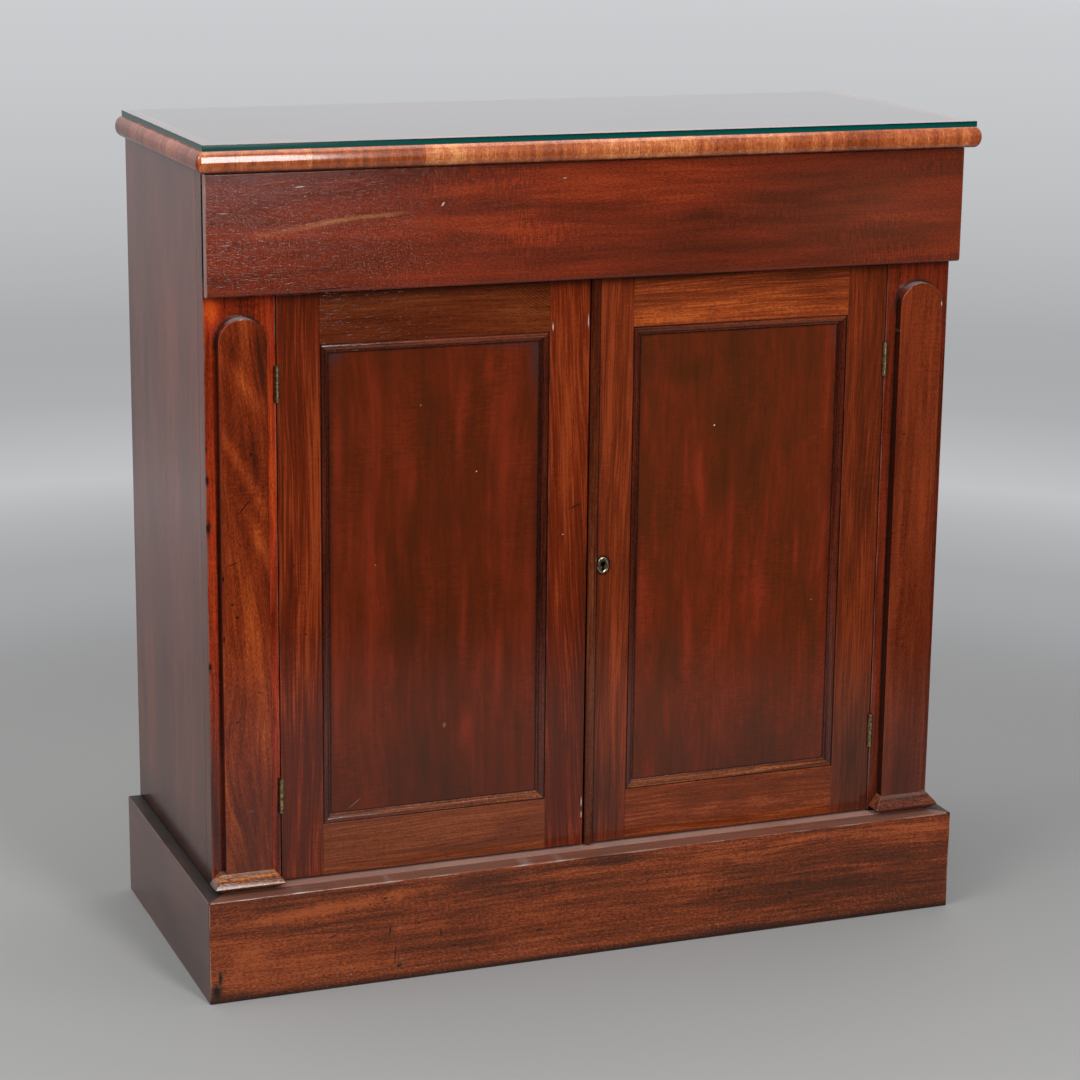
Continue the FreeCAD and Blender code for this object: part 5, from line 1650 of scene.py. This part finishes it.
# %% [markdown]
# The screws hold the fittings, so their places are read from them: three in each hinge leaf, two
# in each slip bolt's plate and four in the lock. A node may hold several loose solids, such as
# four leaves, so these are told apart first.


# %% Places of the screws
def loose_parts(node):
    """Vertex places of each separate solid of a frame node."""
    mesh = welded_copy(node)
    left = set(mesh.verts)
    parts = []
    while left:
        part = set()
        queue = [min(left, key=lambda v: v.index)]
        while queue:
            vertex = queue.pop()
            if vertex not in part:
                part.add(vertex)
                queue += [edge.other_vert(vertex) for edge in vertex.link_edges]
        left -= part
        parts.append([v.co.copy() for v in part])
    mesh.free()
    return parts


def span(points, axis):
    values = [p[axis] for p in points]
    return min(values), max(values)


KNUCKLE = 3 * MM
PLATE_START = 8 * MM
LEAF_SCREWS = ((-13, 6), (0, 11), (13, 6))


def leaf_screws(node):
    """Three screws in a zigzag on the open face of every hinge leaf."""
    found = []
    for part in loose_parts(node):
        front, rear = span(part, 1)
        pin_x = sum(span([p for p in part if p.y < front + KNUCKLE], 0)) / 2
        plate = [p for p in part if p.y > front + PLATE_START]
        face = min(span(plate, 0), key=lambda x: abs(x - pin_x))
        other = max(span(plate, 0), key=lambda x: abs(x - pin_x))
        z = sum(span(part, 2)) / 2
        open_way = (math.copysign(1, face - other), 0, 0)
        for lift, depth in LEAF_SCREWS:
            found.append(((face, rear - depth * MM, z + lift * MM), open_way))
    return found


SCREW_INSET = {"plate": 6 * MM, "lock": 5 * MM}


def plate_screws():
    """Two screws in each slip bolt's plate, near its ends."""
    found = []
    for part in loose_parts("slip_bolt_plates"):
        y = sum(span(part, 1)) / 2
        low_z, high_z = span(part, 2)
        for z in (low_z + SCREW_INSET["plate"], high_z - SCREW_INSET["plate"]):
            found.append(((span(part, 0)[1], y, z), (1, 0, 0)))
    return found


def lock_screws():
    """Four screws, one near each corner of the lock case."""
    start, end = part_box("lock_case")
    inset = SCREW_INSET["lock"]
    return [((x, end.y, z), (0, 1, 0)) for x in (start.x + inset, end.x - inset)
            for z in (start.z + inset, end.z - inset)]


SCREW = {"radius": 2.9 * MM, "height": 0.5 * MM, "slot_width": 0.7 * MM}
fasteners("hinge_screws_carcass", "carcass", leaf_screws("hinge_fixed_leaves"), **SCREW)
for door in DOORS:
    fasteners("hinge_screws_" + door, door, leaf_screws(door + "_hinge_leaves"), **SCREW)
fasteners("slip_bolt_screws", "left_door", plate_screws(), **SCREW)
fasteners("lock_screws", "right_door", lock_screws(), **SCREW)

# %% [markdown]
# The back boards are nailed to the rails above and below, two nails at either end of each board,
# and into the rebates of the sides.

# %% Nails of the back
NAIL = {"radius": 2.2 * MM, "height": 1.0 * MM, "slot_width": 0.01 * MM}
NAIL_SHARES = (0.2, 0.8)
END_INSET = 9 * MM
REBATE_INSET = 5 * MM
REBATE_NAILS = 5


def back_nails():
    """Nails along the rails and down both rebates."""
    found = []
    for word in ("left", "middle", "right"):
        start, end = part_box("back_board_" + word)
        for share in NAIL_SHARES:
            x = start.x + share * (end.x - start.x)
            found += [((x, BACK, z), (0, 1, 0)) for z in (start.z + END_INSET, end.z - END_INSET)]
    rebate = high("back_board_right").x - REBATE_INSET
    for step in range(1, REBATE_NAILS + 1):
        z = PLINTH_TOP + (CARCASS_TOP - PLINTH_TOP) * step / (REBATE_NAILS + 1)
        found += [((x, BACK, z), (0, 1, 0)) for x in (-rebate, rebate)]
    return found


fasteners("back_board_nails", "carcass", back_nails(), **NAIL)

# %% [markdown]
# The studio is a pale paper floor that rises in a round sweep on all sides, so that every view has
# the same backdrop. Near the cabinet it is ordinary paper that takes the shadow. Further out the
# paper's tone is painted by its distance along the sweep, for the eye and for mirror-like
# reflections only, and it gives the cabinet no light. The room in front of the cabinet is dark in
# those reflections up to head height, and dim above it, as a studio is behind its camera;
# otherwise the polish would look milky.

# %% Studio paper
FLOOR_RADIUS = 3.4
SWEEP_RADIUS = 1.6
PAPER = 0.32
PAPER_TONES = (
    (1.0, 0.335), (1.25, 0.352), (1.7, 0.392), (2.0, 0.455), (2.27, 0.540), (2.6, 0.485),
    (3.0, 0.422), (3.45, 0.405), (3.75, 0.414), (4.3, 0.515), (4.6, 0.560), (4.96, 0.610),
    (5.5, 0.86), (5.9, 0.92),
)
PAPER_REACH = 6.0
UPPER_FRONT = 0.4
PAINTED = (0.95, 1.5)
BEHIND = (-0.8, 0.4)
OVERHEAD = (1.2, 2.2)


def paper():
    """Diffuse paper near the middle, painted tone further out."""
    finish = Finish("studio_paper")
    here = finish.place()
    x, y, z = finish.split(here)
    radius = (x * x + y * y) ** 0.5
    climb = (radius - FLOOR_RADIUS).most(0.0).angle(SWEEP_RADIUS - z)
    along = radius.least(FLOOR_RADIUS) + climb.least(math.pi / 2) * SWEEP_RADIUS
    stops = [(place / PAPER_REACH, (tone * 0.99, tone, tone * 1.03))
             for place, tone in PAPER_TONES]
    tone = finish.ramp(along * (1 / PAPER_REACH), *stops)
    flecks = finish.cloud(here, 60.0, 4.0, 0.6)
    sheet = finish.mix(flecks.ease(-0.4, 0.4) * 0.06, (PAPER, PAPER, PAPER * 0.985),
                       (PAPER * 0.8,) * 3)
    matt = finish.surface({
        "Base Color": sheet, "Roughness": 0.7, "Specular IOR Level": 0.2,
        "Normal": finish.bump(0.0002, flecks),
    })
    path = finish.add("ShaderNodeLightPath").socket.node.outputs
    seen = Wire(finish, path["Is Camera Ray"]).most(Wire(finish, path["Is Transmission Ray"]))
    mirrored = Wire(finish, path["Is Glossy Ray"])
    share = seen.most(mirrored) * along.ease(*PAINTED)
    strength = seen.most(mirrored * y.ease(*BEHIND).most(z.ease(*OVERHEAD) * UPPER_FRONT))
    glow = finish.add("ShaderNodeEmission", values={"Color": tone, "Strength": strength})
    return finish.close(finish.add("ShaderNodeMixShader", values={0: share, 1: matt, 2: glow}))


paper_material = paper()

# %% [markdown]
# The paper itself is turned from a section: flat rings for the floor, a quarter round and a wall.
# The floor takes the shadow and gives light back. The wall is there for the eye alone, so it
# neither lights nor shades the cabinet.

# %% Stage
WALL_TOP = 6.0
SWEEP_STEPS = 16
ROUND_STEPS = 96
FLOOR_RINGS = (0.0, 0.6, 1.4, 2.4, FLOOR_RADIUS)
floor_section = [(radius, 0.0) for radius in FLOOR_RINGS]
wall_section = floor_section[-1:]
for step in range(1, SWEEP_STEPS + 1):
    angle = math.pi / 2 * step / SWEEP_STEPS
    wall_section.append((FLOOR_RADIUS + SWEEP_RADIUS * math.sin(angle),
                         SWEEP_RADIUS * (1 - math.cos(angle))))
wall_section.append((FLOOR_RADIUS + SWEEP_RADIUS, WALL_TOP))


def paper_ring(name, section):
    """A part of the round paper, turned about the middle of the studio."""
    mesh = bmesh.new()
    turns = [2 * math.pi * i / ROUND_STEPS for i in range(ROUND_STEPS)]
    rings = [[mesh.verts.new((r * math.cos(a), r * math.sin(a), z)) for a in turns]
             for r, z in section if r > 0]
    if section[0][0] == 0:
        mesh.faces.new(rings[0])
    for inner, outer in zip(rings, rings[1:]):
        for i in range(ROUND_STEPS):
            j = (i + 1) % ROUND_STEPS
            mesh.faces.new((inner[i], outer[i], outer[j], inner[j]))
    made = object_of(name, mesh)
    made.data.shade_smooth()
    made.data.materials.append(paper_material)
    return made


paper_ring("studio_floor", floor_section)
wall = paper_ring("studio_wall", wall_section)
wall.visible_diffuse = False
wall.visible_shadow = False
print("stage:", len(wall.data.polygons), "faces of wall")

# %% [markdown]
# Soft studio light at a plain level. A tall softbox stands in front, a little to the right of the
# cabinet's middle: the flat fronts turn its mirror image away from the camera, while the noses of
# the top and the feet catch it as a white line. A second one high on the left lights the arches'
# arrises, a third further round lights the left side, and a wide one overhead fills the top and
# the floor. None of them shows to the camera.

# %% Lights
def softbox(name, place, target, width, height, power):
    """A rectangular lamp that faces a point."""
    lamp = bpy.data.lights.new(name, "AREA")
    lamp.shape = "RECTANGLE"
    lamp.size = width
    lamp.size_y = height
    lamp.energy = power
    made = bpy.data.objects.new(name, lamp)
    made.location = place
    made.rotation_euler = (Vector(target) - Vector(place)).to_track_quat("-Z", "Y").to_euler()
    made.visible_camera = False
    bpy.context.scene.collection.objects.link(made)
    print("softbox", name, width, "x", height, "m,", power, "W")


softbox("front", (0.20, -2.5, 1.75), (0.0, 0.0, 0.75), 0.46, 2.3, 50)
softbox("upper_left", (-2.2, -1.2, 2.6), (0, -0.1, 0.5), 1.3, 1.3, 30)
softbox("left", (-3.0, 0.2, 1.6), (-0.4, 0.1, 0.5), 1.6, 1.6, 20)
softbox("overhead", (0.0, 0.2, 3.4), (0, 0, 0), 3.0, 2.4, 55)

# %% [markdown]
# A little even light from the air of the room fills the shadows. Colours are shown as they are
# written, with the standard view and nothing added after the render.

# %% Air of the room
AIR = 0.35
world = bpy.data.worlds.new("studio_air")
world.use_nodes = True
world.node_tree.nodes["Background"].inputs["Color"].default_value = (AIR, AIR, AIR * 1.03, 1)
bpy.context.scene.world = world
bpy.context.scene.view_settings.view_transform = "Standard"
print("air", AIR)

# %% [markdown]
